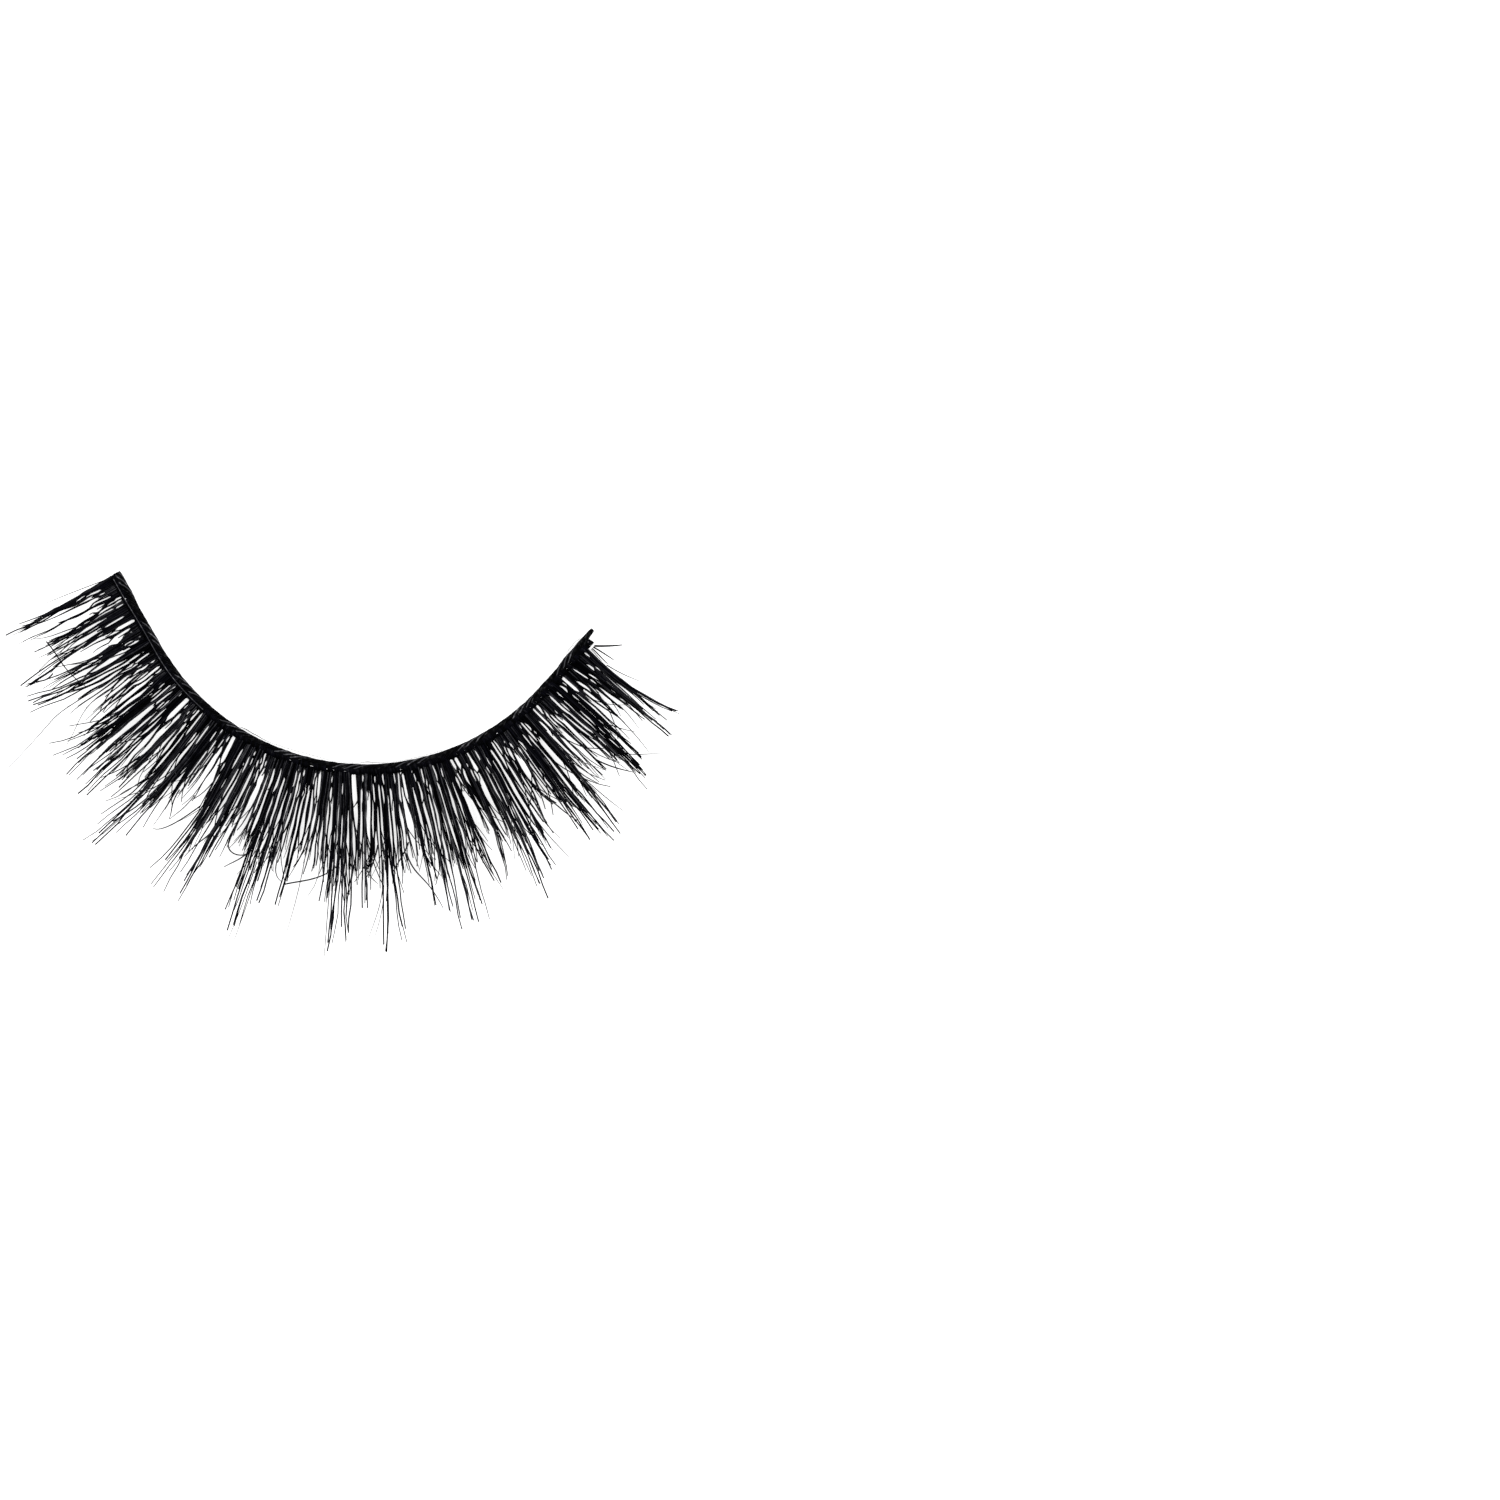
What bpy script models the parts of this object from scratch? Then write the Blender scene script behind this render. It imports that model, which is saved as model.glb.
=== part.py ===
"""False eyelash strip: a curved thread band that carries two layers of tapering lash tufts.

Metres, +Z up. The strip lies flat on its band with its lashes curling up. The origin is on
the underside of the band's core thread, at the middle of the bend. +X runs along the strip
towards the end worn at the nose, +Y points into the hollow where the eyelid goes, and the
lashes spread to the other side.

Places on the strip are given in millimetres by three measures: along the core thread from
its outer end, out from the core thread's middle towards the lash tips, and rise above the
surface that the strip lies on.
"""
import math

import bmesh
import bpy

MM = 0.001

# The core thread's middle line: a straight, an arc and a straight
BEND_RADIUS = 13.0
OUTER_STRAIGHT = 4.7
OUTER_TURN = math.radians(60.0)
INNER_TURN = math.radians(48.0)
INNER_STRAIGHT = 4.2
ARC_LENGTH = BEND_RADIUS * (OUTER_TURN + INNER_TURN)
BAND_LENGTH = OUTER_STRAIGHT + ARC_LENGTH + INNER_STRAIGHT
STEP = 0.8                # longest straight piece of anything that follows the bend

# Lashes: a narrow root strip along the knots, from which the tufts curl up round one axis
ROOT_FROM = 0.48
ROOT_TO = 0.62
LAST_ROOT = 32.92         # where the roots stop, short of the core thread's thin end
CURL_RADIUS = 12.0
LAYER_THICKNESS = 0.20
LAYER_GAP = 0.04          # between the base layer and the spikes that lie on it
SIDE_THICKNESS = 0.5      # of a tuft's side edges, as a share of its middle

# Knot thread: the thin thread that the lashes are knotted to, beside the core thread
KNOT_OUT = 0.37
KNOT_RISE = 0.20
KNOT_RADIUS = 0.075
KNOT_SIDES = 6

# Core thread, a row for each place where its form changes
# columns: along, half width, height, shift out
CORE_SECTIONS = (
    (0.00, 0.20, 0.34, -0.07),
    (0.20, 0.24, 0.42, -0.07),
    (1.30, 0.23, 0.42, -0.06),
    (2.10, 0.20, 0.40, 0.00),
    (30.60, 0.20, 0.40, 0.00),
    (31.30, 0.22, 0.42, -0.06),
    (32.60, 0.22, 0.42, -0.07),
    (32.85, 0.15, 0.32, -0.13),
    (33.20, 0.12, 0.26, -0.15),
    (BAND_LENGTH, 0.08, 0.18, -0.16),
)

# Cross-section of the core thread, flat below; columns: share of half width, share of height
CORE_OUTLINE = (
    (-0.75, 0.00), (0.75, 0.00), (1.00, 0.25), (1.00, 0.62), (0.70, 0.90),
    (0.25, 1.00), (-0.25, 1.00), (-0.70, 0.90), (-1.00, 0.62), (-1.00, 0.25),
)

# Clear dried glue left along the hollow side of the band, a row for each section
# columns: along, width
GLUE_START = -0.235
GLUE_LOW = 0.03
GLUE_THICKNESS = 0.03
GLUE_MIDDLE = (
    (10.9, 0.03), (11.3, 0.10), (12.1, 0.09), (12.7, 0.05), (13.4, 0.10), (14.2, 0.13),
    (14.9, 0.15), (15.7, 0.12), (16.4, 0.05), (17.2, 0.04), (17.9, 0.05), (18.4, 0.12),
    (18.8, 0.10), (19.2, 0.04), (20.0, 0.03), (20.8, 0.05), (21.6, 0.07), (22.4, 0.06),
    (22.8, 0.03),
)
GLUE_END_START = -0.325
GLUE_END = ((31.4, 0.03), (31.8, 0.11), (32.3, 0.12), (32.6, 0.03))

# How a tuft narrows from its root to its tip
# columns: share of reach, share of root width, share of thickness
BASE_TAPER = (
    (0.15, 0.84, 1.00), (0.36, 0.66, 1.00), (0.58, 0.50, 0.95), (0.80, 0.32, 0.75),
    (1.00, 0.09, 0.35),
)
SPIKE_TAPER = (
    (0.12, 0.86, 1.00), (0.28, 0.70, 1.00), (0.46, 0.54, 0.95), (0.64, 0.38, 0.85),
    (0.82, 0.22, 0.65), (1.00, 0.08, 0.35),
)

# The short, close tufts of the base layer
# columns: root from, root to, tip along, reach out
BASE_TUFTS = (
    (0.00, 0.60, 0.10, 6.2), (0.60, 1.10, 0.80, 5.4), (1.10, 1.75, 1.52, 5.1),
    (1.75, 2.10, 1.97, 5.5), (2.10, 2.62, 2.60, 4.9), (2.86, 3.55, 3.42, 5.6),
    (3.55, 3.95, 3.80, 4.4), (3.95, 4.58, 4.25, 5.2), (4.58, 4.82, 4.56, 4.4),
    (4.82, 5.10, 4.88, 5.5), (5.10, 5.40, 5.18, 6.0), (5.40, 5.62, 5.60, 5.2),
    (5.72, 5.98, 5.85, 5.4), (5.98, 6.40, 6.20, 5.6), (6.40, 7.00, 6.72, 5.8),
    (7.00, 7.40, 7.40, 5.7), (7.40, 7.70, 7.78, 5.6), (7.96, 8.28, 8.15, 5.9),
    (8.28, 8.62, 8.42, 5.0), (8.62, 8.80, 8.76, 5.0), (8.80, 9.38, 9.18, 5.9),
    (9.38, 9.95, 9.62, 6.2), (9.95, 10.38, 10.20, 5.8), (10.38, 10.62, 10.48, 5.2),
    (10.62, 10.86, 10.84, 5.1), (11.10, 11.62, 11.50, 5.7), (11.62, 12.10, 11.78, 5.5),
    (12.10, 12.45, 12.28, 5.7), (12.45, 12.75, 12.52, 5.5), (12.75, 13.02, 12.90, 5.9),
    (13.02, 13.32, 13.14, 5.0), (13.32, 13.58, 13.42, 5.6), (13.58, 13.92, 13.66, 5.9),
    (13.92, 14.50, 14.25, 6.3), (14.50, 14.95, 14.72, 6.0), (14.95, 15.18, 15.08, 5.8),
    (15.18, 15.48, 15.36, 6.4), (15.48, 15.84, 15.70, 5.6), (16.00, 16.42, 16.22, 5.8),
    (16.42, 16.88, 16.80, 6.2), (16.88, 17.46, 17.40, 6.3), (17.86, 18.30, 18.12, 5.7),
    (18.30, 18.80, 18.45, 5.8), (18.80, 19.02, 18.90, 5.4), (19.02, 19.30, 19.15, 6.0),
    (19.30, 19.62, 19.42, 5.7), (19.62, 19.95, 19.76, 5.3), (19.95, 20.14, 20.05, 5.6),
    (20.30, 20.62, 20.42, 5.4), (20.62, 21.00, 20.82, 5.6), (21.00, 21.38, 21.16, 6.0),
    (21.38, 21.76, 21.52, 5.7), (21.76, 22.02, 21.90, 6.2), (22.02, 22.40, 22.22, 6.0),
    (22.40, 22.84, 22.58, 5.7), (23.02, 23.36, 23.30, 5.2), (23.36, 23.88, 23.72, 5.6),
    (23.88, 24.42, 24.22, 5.9), (24.42, 24.98, 24.66, 5.9), (24.98, 25.24, 25.10, 5.8),
    (25.44, 25.70, 25.54, 5.6), (25.70, 26.00, 25.86, 5.0), (26.00, 26.36, 26.30, 5.6),
    (26.36, 27.04, 26.82, 5.9), (27.04, 27.30, 27.16, 5.8), (27.36, 27.72, 27.50, 5.6),
    (27.72, 28.06, 27.86, 5.0), (28.06, 28.26, 28.18, 5.4), (28.40, 28.86, 28.56, 5.2),
    (28.86, 29.10, 28.98, 5.6), (29.10, 29.50, 29.32, 5.8), (29.50, 29.92, 29.62, 5.6),
    (29.92, 30.32, 30.12, 5.3), (30.48, 30.88, 30.80, 3.8), (30.88, 31.30, 31.24, 4.3),
    (31.30, 31.74, 31.62, 4.8), (31.74, 32.10, 31.96, 5.3), (32.10, 32.42, 32.38, 5.5),
    (32.62, 32.80, 32.88, 1.9), (32.80, LAST_ROOT, 33.70, 1.5),
)

# The long, thin spikes that lie over the base layer
# columns: root from, root to, tip along, reach out
SPIKE_TUFTS = (
    (0.00, 0.40, 0.12, 6.7), (2.30, 2.70, 2.95, 7.0), (4.10, 4.60, 4.02, 7.3),
    (6.05, 6.50, 6.20, 7.4), (6.60, 7.00, 6.85, 7.9), (7.25, 7.65, 7.58, 7.6),
    (8.10, 8.50, 8.18, 6.8), (8.82, 9.32, 8.98, 8.9), (9.42, 9.95, 9.50, 7.6),
    (11.15, 11.75, 11.40, 8.8), (11.75, 12.10, 11.76, 7.7), (12.12, 12.42, 12.22, 8.8),
    (12.45, 12.70, 12.46, 6.8), (13.70, 13.98, 13.90, 8.5), (13.98, 14.45, 14.24, 9.2),
    (14.45, 14.80, 14.66, 7.5), (15.20, 15.45, 15.38, 7.3), (16.50, 16.86, 16.90, 6.8),
    (16.86, 17.20, 17.28, 9.6), (17.20, 17.46, 17.70, 8.8), (18.20, 18.50, 18.36, 6.9),
    (18.90, 19.22, 19.06, 9.5), (19.22, 19.45, 19.56, 8.7), (20.50, 20.80, 20.78, 7.2),
    (21.15, 21.50, 21.32, 8.6), (21.76, 22.02, 21.92, 9.4), (22.06, 22.36, 22.22, 8.7),
    (22.56, 22.84, 23.00, 7.4), (23.40, 23.70, 23.42, 7.2), (24.02, 24.34, 24.16, 8.3),
    (24.34, 24.66, 24.42, 8.6), (24.66, 24.94, 24.88, 7.7), (25.02, 25.22, 25.18, 6.8),
    (26.30, 26.60, 26.48, 7.3), (26.60, 27.02, 26.93, 8.0), (27.06, 27.32, 27.28, 8.2),
    (27.40, 27.68, 27.52, 7.9), (29.16, 29.50, 29.20, 7.4), (29.50, 29.88, 29.46, 7.2),
    (30.00, 30.22, 30.06, 6.3), (31.50, 31.95, 31.98, 6.3), (32.10, 32.42, 33.02, 6.1),
)


def on_band(along, out, rise):
    """The point that lies this far along the band, out from it and above its underside."""
    turned = (along - OUTER_STRAIGHT) / BEND_RADIUS - OUTER_TURN
    turned = min(max(turned, -OUTER_TURN), INNER_TURN)
    straight = min(along - OUTER_STRAIGHT, 0.0)
    straight += max(along - OUTER_STRAIGHT - ARC_LENGTH, 0.0)
    across, ahead = math.sin(turned), math.cos(turned)
    x = (BEND_RADIUS + out) * across + straight * ahead
    y = BEND_RADIUS - (BEND_RADIUS + out) * ahead + straight * across
    return x * MM, y * MM, rise * MM


def on_curl(along, turn, level):
    """A point of the lashes, turned up round the curl's axis from its level at the root."""
    radius = CURL_RADIUS - level
    out = ROOT_TO + radius * math.sin(turn)
    rise = CURL_RADIUS - radius * math.cos(turn)
    return on_band(along, out, rise)


def steps_between(start, end):
    """Even places from start up to end, no further apart than the longest straight piece."""
    count = max(1, math.ceil((end - start) / STEP))
    return [start + (end - start) * i / count for i in range(count)]


def with_steps(table):
    """The rows of a section table, with even rows filled in between them."""
    rows = []
    for here, ahead in zip(table, table[1:]):
        for along in steps_between(here[0], ahead[0]):
            share = (along - here[0]) / (ahead[0] - here[0])
            rows.append([a + (b - a) * share for a, b in zip(here, ahead)])
    rows.append(list(table[-1]))
    return rows


def bridge(bm, ring, next_ring):
    """Faces from each side of one ring to the same side of the next."""
    for i, corner in enumerate(ring):
        j = (i + 1) % len(ring)
        bm.faces.new((corner, ring[j], next_ring[j], next_ring[i]))


def loft(bm, rings):
    """A closed solid through rings of points."""
    loops = [[bm.verts.new(point) for point in ring] for ring in rings]
    for ring, next_ring in zip(loops, loops[1:]):
        bridge(bm, ring, next_ring)
    bm.faces.new(loops[0])
    bm.faces.new(loops[-1])


def finish(name, bm, material, smooth_angle=None):
    """Turns a mesh under construction into a named object with its material."""
    bmesh.ops.recalc_face_normals(bm, faces=bm.faces)
    mesh = bpy.data.meshes.new(name)
    bm.to_mesh(mesh)
    bm.free()
    mesh.materials.append(material)
    if smooth_angle is not None:
        mesh.shade_smooth()
        mesh.set_sharp_from_angle(angle=smooth_angle)
    bpy.context.collection.objects.link(bpy.data.objects.new(name, mesh))


def make_material(name, colour, roughness):
    """A plain finish; nothing on the strip is metal."""
    material = bpy.data.materials.new(name)
    material.use_nodes = True
    shader = material.node_tree.nodes["Principled BSDF"]
    shader.inputs["Base Color"].default_value = (*colour, 1.0)
    shader.inputs["Roughness"].default_value = roughness
    shader.inputs["Metallic"].default_value = 0.0
    return material


def make_core_thread(material):
    """The thick thread that stiffens the band, cut square outside and thinned at the nose end."""
    rings = []
    for along, half_width, height, shift in with_steps(CORE_SECTIONS):
        rings.append([on_band(along, shift + half_width * side, height * up)
                      for side, up in CORE_OUTLINE])
    bm = bmesh.new()
    loft(bm, rings)
    finish("core_thread", bm, material, smooth_angle=math.radians(50))


def make_knot_thread(material):
    """The thin thread beside the core, as long as the row of lash roots."""
    rings = []
    for along in steps_between(0.0, LAST_ROOT) + [LAST_ROOT]:
        ring = []
        for i in range(KNOT_SIDES):
            angle = math.tau * i / KNOT_SIDES
            out = KNOT_OUT + KNOT_RADIUS * math.cos(angle)
            ring.append(on_band(along, out, KNOT_RISE + KNOT_RADIUS * math.sin(angle)))
        rings.append(ring)
    bm = bmesh.new()
    loft(bm, rings)
    finish("knot_thread", bm, material, smooth_angle=math.radians(70))


def make_glue_film(name, table, start, material):
    """A thin clear strip of dried glue along the band's hollow side."""
    rings = []
    for along, width in with_steps(table):
        corners = ((start, 0), (start - width, 0), (start - width, 1), (start, 1))
        rings.append([on_band(along, out, GLUE_LOW + GLUE_THICKNESS * side)
                      for out, side in corners])
    bm = bmesh.new()
    loft(bm, rings)
    finish(name, bm, material)


def add_tuft(bm, root_ring, tuft, taper, middle):
    """Grows one tuft from its face on the root strip: flat below, with a ridge on top."""
    root_from, root_to, tip, reach = tuft
    root_middle = (root_from + root_to) / 2
    ring = root_ring
    for share, width_share, thickness_share in taper:
        turn = math.asin(share * (reach - ROOT_TO) / (CURL_RADIUS - middle))
        along = root_middle + (tip - root_middle) * share
        half_width = (root_to - root_from) / 2 * width_share
        half = LAYER_THICKNESS / 2 * thickness_share
        side = half * (1 - SIDE_THICKNESS)
        corners = ((-1, -half), (1, -half), (1, half - side), (0, half), (-1, half - side))
        next_ring = [bm.verts.new(on_curl(along + half_width * across, turn, middle + level))
                     for across, level in corners]
        bridge(bm, ring, next_ring)
        ring = next_ring
    bm.faces.new(ring)


def make_lashes(name, tufts, taper, low, material):
    """One layer of lashes: a root strip along the knots, with every tuft grown out of it."""
    bm = bmesh.new()
    high = low + LAYER_THICKNESS
    middle = (low + high) / 2

    def edge_at(along):
        places = ((ROOT_FROM, low), (ROOT_FROM, high), (ROOT_TO, high), (ROOT_TO, low))
        return [bm.verts.new(on_band(along, out, rise)) for out, rise in places]

    first = edge_at(tufts[0][0])
    bm.faces.new(first)
    here, reached = first, tufts[0][0]
    for tuft in tufts:
        root_from, root_to = tuft[:2]
        if root_from > reached:
            for along in steps_between(reached, root_from)[1:] + [root_from]:
                ahead = edge_at(along)
                bridge(bm, here, ahead)
                here = ahead
        ahead = edge_at(root_to)
        ridge = bm.verts.new(on_band((root_from + root_to) / 2, ROOT_TO, high))
        bm.faces.new((here[0], ahead[0], ahead[3], here[3]))
        bm.faces.new((here[0], here[1], ahead[1], ahead[0]))
        bm.faces.new((here[1], here[2], ridge, ahead[2], ahead[1]))
        add_tuft(bm, [here[3], ahead[3], ahead[2], ridge, here[2]], tuft, taper, middle)
        here, reached = ahead, root_to
    bm.faces.new(here)
    finish(name, bm, material, smooth_angle=math.radians(40))


def main():
    for old in list(bpy.data.objects):
        bpy.data.objects.remove(old)
    thread = make_material("black_thread", (0.012, 0.012, 0.014), 0.75)
    fibre = make_material("black_fibre", (0.008, 0.008, 0.010), 0.35)
    glue = make_material("clear_glue", (0.86, 0.87, 0.86), 0.20)
    make_core_thread(thread)
    make_knot_thread(thread)
    make_lashes("base_lashes", BASE_TUFTS, BASE_TAPER, 0.0, fibre)
    make_lashes("spike_lashes", SPIKE_TUFTS, SPIKE_TAPER, LAYER_THICKNESS + LAYER_GAP, fibre)
    make_glue_film("glue_film_middle", GLUE_MIDDLE, GLUE_START, glue)
    make_glue_film("glue_film_end", GLUE_END, GLUE_END_START, glue)


main()
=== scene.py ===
# %% [markdown]
# # A false eyelash strip
#
# A strip of this kind is made from three things only: a black core thread, a thinner thread
# beside it, and some hundreds of tapered synthetic hairs that are knotted to the two threads
# and heat-set so that they curl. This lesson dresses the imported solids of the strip. The
# solids give the size, the bend of the band and the outline of every tuft. What is missing
# is what makes the thing look real: single hairs, knots and twisted yarn.

# %% Load the frame
import math

import bpy
import numpy as np
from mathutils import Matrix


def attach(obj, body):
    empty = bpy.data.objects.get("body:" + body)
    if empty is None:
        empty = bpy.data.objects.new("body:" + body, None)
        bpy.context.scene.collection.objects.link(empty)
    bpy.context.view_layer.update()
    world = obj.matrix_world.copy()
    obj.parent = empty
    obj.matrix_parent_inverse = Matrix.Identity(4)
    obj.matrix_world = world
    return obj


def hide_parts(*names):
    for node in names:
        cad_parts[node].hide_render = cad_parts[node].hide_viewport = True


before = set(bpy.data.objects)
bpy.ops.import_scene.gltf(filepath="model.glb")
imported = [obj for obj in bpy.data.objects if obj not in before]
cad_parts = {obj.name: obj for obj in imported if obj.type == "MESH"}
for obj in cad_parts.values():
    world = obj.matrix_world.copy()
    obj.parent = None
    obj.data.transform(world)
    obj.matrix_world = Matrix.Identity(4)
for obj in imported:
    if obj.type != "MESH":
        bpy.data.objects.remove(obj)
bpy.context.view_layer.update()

# %% [markdown]
# ## Measures
#
# Every place on the strip is given as three measures in millimetres: how far along the core
# thread from its outer end, how far out from the thread's middle towards the lash tips, and
# how high. The band is a straight, an arc and a straight, and these few numbers are the same
# ones that the solids were drawn with, so a hair lands exactly where its tuft's solid is.

# %% The bend of the band and the curl of the lashes
MM = 0.001
BEND_RADIUS = 13.0
OUTER_STRAIGHT = 4.7
OUTER_TURN = math.radians(60.0)
INNER_TURN = math.radians(48.0)
INNER_STRAIGHT = 4.2
ARC_LENGTH = BEND_RADIUS * (OUTER_TURN + INNER_TURN)
BAND_LENGTH = OUTER_STRAIGHT + ARC_LENGTH + INNER_STRAIGHT
ROOT_TO = 0.62  # where the lashes leave the flat and begin to curl
CURL_RADIUS = 12.0
LAYER_THICKNESS = 0.20
LAYER_GAP = 0.04


def on_band(along, out, rise):
    """Points in metres from arrays of the three measures."""
    along, out, rise = np.broadcast_arrays(along, out, rise)
    turned = np.clip((along - OUTER_STRAIGHT) / BEND_RADIUS - OUTER_TURN, -OUTER_TURN, INNER_TURN)
    straight = np.minimum(along - OUTER_STRAIGHT, 0.0)
    straight = straight + np.maximum(along - OUTER_STRAIGHT - ARC_LENGTH, 0.0)
    across, ahead = np.sin(turned), np.cos(turned)
    x = (BEND_RADIUS + out) * across + straight * ahead
    y = BEND_RADIUS - (BEND_RADIUS + out) * ahead + straight * across
    return np.stack([x, y, rise], axis=-1) * MM


def on_curl(along, out, level):
    """Points of a lash: flat as far as its root strip, then up round the curl's axis."""
    along, out, level = np.broadcast_arrays(along, out, level)
    radius = CURL_RADIUS - level
    turn = np.arcsin(np.clip((out - ROOT_TO) / radius, 0.0, 0.99))
    rise = CURL_RADIUS - radius * np.cos(turn)
    return on_band(along, out, rise)


print("band", round(BAND_LENGTH, 2), "mm, a lash 9 mm out rises",
      round(float(on_curl(17.0, 9.0, 0.1)[2]) / MM, 2), "mm")

# %% [markdown]
# ## The camera
#
# The strip is photographed from straight above and fills the left half of the picture. A
# long lens keeps the view nearly parallel. The camera's place comes from the photograph: it
# stands over the middle of the picture, and the strip's bend is found by its pixel.

# %% Camera
MM_PER_PIXEL = 0.0544
PHOTO_PIXELS = 1500
BEND_PIXEL = (365.7, 767.9)  # the middle of the bend, from the upper left corner
LENS_MM = 300.0
SENSOR_MM = 36.0

frame_width = PHOTO_PIXELS * MM_PER_PIXEL * MM
camera_data = bpy.data.cameras.new("camera")
camera_data.lens = LENS_MM
camera_data.sensor_width = SENSOR_MM
camera_data.clip_start = 0.01
camera_data.clip_end = 10.0
camera = bpy.data.objects.new("camera", camera_data)
camera.location = (
    (PHOTO_PIXELS / 2 - BEND_PIXEL[0]) * MM_PER_PIXEL * MM,
    (BEND_PIXEL[1] - PHOTO_PIXELS / 2) * MM_PER_PIXEL * MM,
    frame_width * LENS_MM / SENSOR_MM,
)
bpy.context.collection.objects.link(camera)
bpy.context.scene.camera = camera
print("camera at", [round(v, 4) for v in camera.location])

# %% [markdown]
# ## Shader maths in plain Python
#
# A material is a graph of nodes. Wiring every Math node by hand hides the idea, so a small
# class wraps a socket and lets Python's own operators add the nodes: `1 - mask` makes a
# subtract node, `a * b` a multiply node. Every other kind of node comes from one method.

# %% The wrapper for sockets and materials


class Socket:
    """One value in a material. Sums and products of sockets add Math nodes."""

    def __init__(self, finish, socket):
        self.finish = finish
        self.socket = socket

    def _math(self, operation, first, second):
        return self.finish.node("ShaderNodeMath", {"operation": operation}, {0: first, 1: second})

    def __add__(self, other):
        return self._math("ADD", self, other)

    def __sub__(self, other):
        return self._math("SUBTRACT", self, other)

    def __rsub__(self, other):
        return self._math("SUBTRACT", other, self)

    def __mul__(self, other):
        return self._math("MULTIPLY", self, other)

    __radd__ = __add__


class Finish:
    """A material under construction, with one Principled shader."""

    def __init__(self, name):
        self.material = bpy.data.materials.new(name)
        self.material.use_nodes = True
        self.tree = self.material.node_tree
        self.shader = self.tree.nodes["Principled BSDF"]

    def node(self, kind, settings=None, inputs=None, output=0):
        """A node of this kind: its settings first, then the values or links of its sockets."""
        made = self.tree.nodes.new(kind)
        for name, value in (settings or {}).items():
            setattr(made, name, value)
        for name, value in (inputs or {}).items():
            self.feed(made.inputs[name], value)
        return Socket(self, made.outputs[output])

    def feed(self, socket, value):
        """Sets a socket to a plain value, or links it to another one."""
        if isinstance(value, Socket):
            self.tree.links.new(value.socket, socket)
        else:
            socket.default_value = value

    def set(self, **inputs):
        """The Principled shader's sockets, with an underscore for each space."""
        for name, value in inputs.items():
            self.feed(self.shader.inputs[name.replace("_", " ")], value)

    def noise(self, per_mm, detail=2.0):
        """Soft noise from 0 to 1, this many blobs to the millimetre."""
        place = self.node("ShaderNodeTexCoord", output="Object")
        scaled = self.node("ShaderNodeVectorMath", {"operation": "MULTIPLY"},
                           {0: place, 1: [per_mm / MM] * 3})
        return self.node("ShaderNodeTexNoise", {"noise_dimensions": "3D"},
                         {"Vector": scaled, "Scale": 1.0, "Detail": detail})

    def tone(self):
        """The number from 0 to 1 that each tube of a mesh carries."""
        return self.node("ShaderNodeAttribute", {"attribute_name": "tone"}, output="Fac")

    def ramp(self, value, low, high):
        """From 0 to 1 while the value goes from low to high."""
        made = self.node("ShaderNodeValToRGB", {}, {"Fac": value})
        black, white = made.socket.node.color_ramp.elements
        black.position, white.position = low, high
        return made

    def mix(self, factor, low, high):
        """A colour between two colours."""
        return self.node("ShaderNodeMix", {"data_type": "RGBA"}, {0: factor, 6: low, 7: high},
                         output=2)

    def bump(self, height, depth_mm, strength):
        """A normal from a height that runs from 0 to 1, this deep."""
        return self.node("ShaderNodeBump", {},
                         {"Height": height, "Distance": depth_mm * MM, "Strength": strength})


def grey(value, blue=0.0):
    """A colour a little to the blue of grey."""
    return (value, value, value * (1 + blue), 1.0)


WHITE = grey(1.0)


# %% [markdown]
# ## The finishes
#
# The hairs are extruded plastic, dyed black through, so they shine softly along their
# length. No two reflect quite alike: each hair carries a number, its tone, that shifts its
# colour and its roughness. The yarn is the same black but matt, with wax that gathers on it
# in patches, and a painted highlight: filaments of high tone are coloured light grey, most
# of all in those patches. The glue is clear and only its edges show; its rim is coloured near
# black and mostly opaque, a painted shade for the dark edge of clear glue.

# %% Hair, yarn and glue


def make_hair():
    """Deep black hair; about one in three catches a soft shine along its length."""
    finish = Finish("lash_hair")
    tone = finish.tone()
    streak = finish.noise(2.5)
    shiny = finish.ramp(tone, 0.52, 0.95)
    finish.set(Base_Color=finish.mix(streak * tone, grey(0.0002), grey(0.0050, blue=0.9)),
               Roughness=0.34 + tone * 0.16 + streak * 0.08,
               Specular_IOR_Level=0.015, IOR=1.35,
               Coat_Weight=shiny * streak * streak * 1.6, Coat_Roughness=0.28,
               Normal=finish.bump(finish.noise(18.0), 0.004, 0.6))
    return finish.material


def make_yarn():
    """Matt black yarn with waxy patches on some of its filaments, and a painted highlight: filaments of
    high tone are coloured light grey in patches.
    """
    finish = Finish("band_yarn")
    tone = finish.tone()
    # patches of wax: the yarn is less rough and coated there, and the painted highlight below is
    # strongest there
    wax_and_painted_highlight = finish.ramp(finish.noise(4.5), 0.50, 0.68)
    lint = finish.noise(14.0, detail=4.0)
    # painted highlight: filaments whose tone is above 0.72 are coloured light grey, more in the wax
    # patches
    painted_highlight = finish.ramp(tone, 0.72, 0.96) * (wax_and_painted_highlight * 0.6 + 0.4)
    plain = finish.mix(lint * tone, grey(0.0003), grey(0.0060, blue=0.3))
    finish.set(Base_Color=finish.mix(painted_highlight, plain, grey(0.065, blue=0.1)),
               Roughness=0.85 - wax_and_painted_highlight * 0.35, Specular_IOR_Level=0.015,
               Coat_Weight=tone * wax_and_painted_highlight * 0.7, Coat_Roughness=0.40,
               Normal=finish.bump(lint, 0.012, 0.8))
    return finish.material


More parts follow.
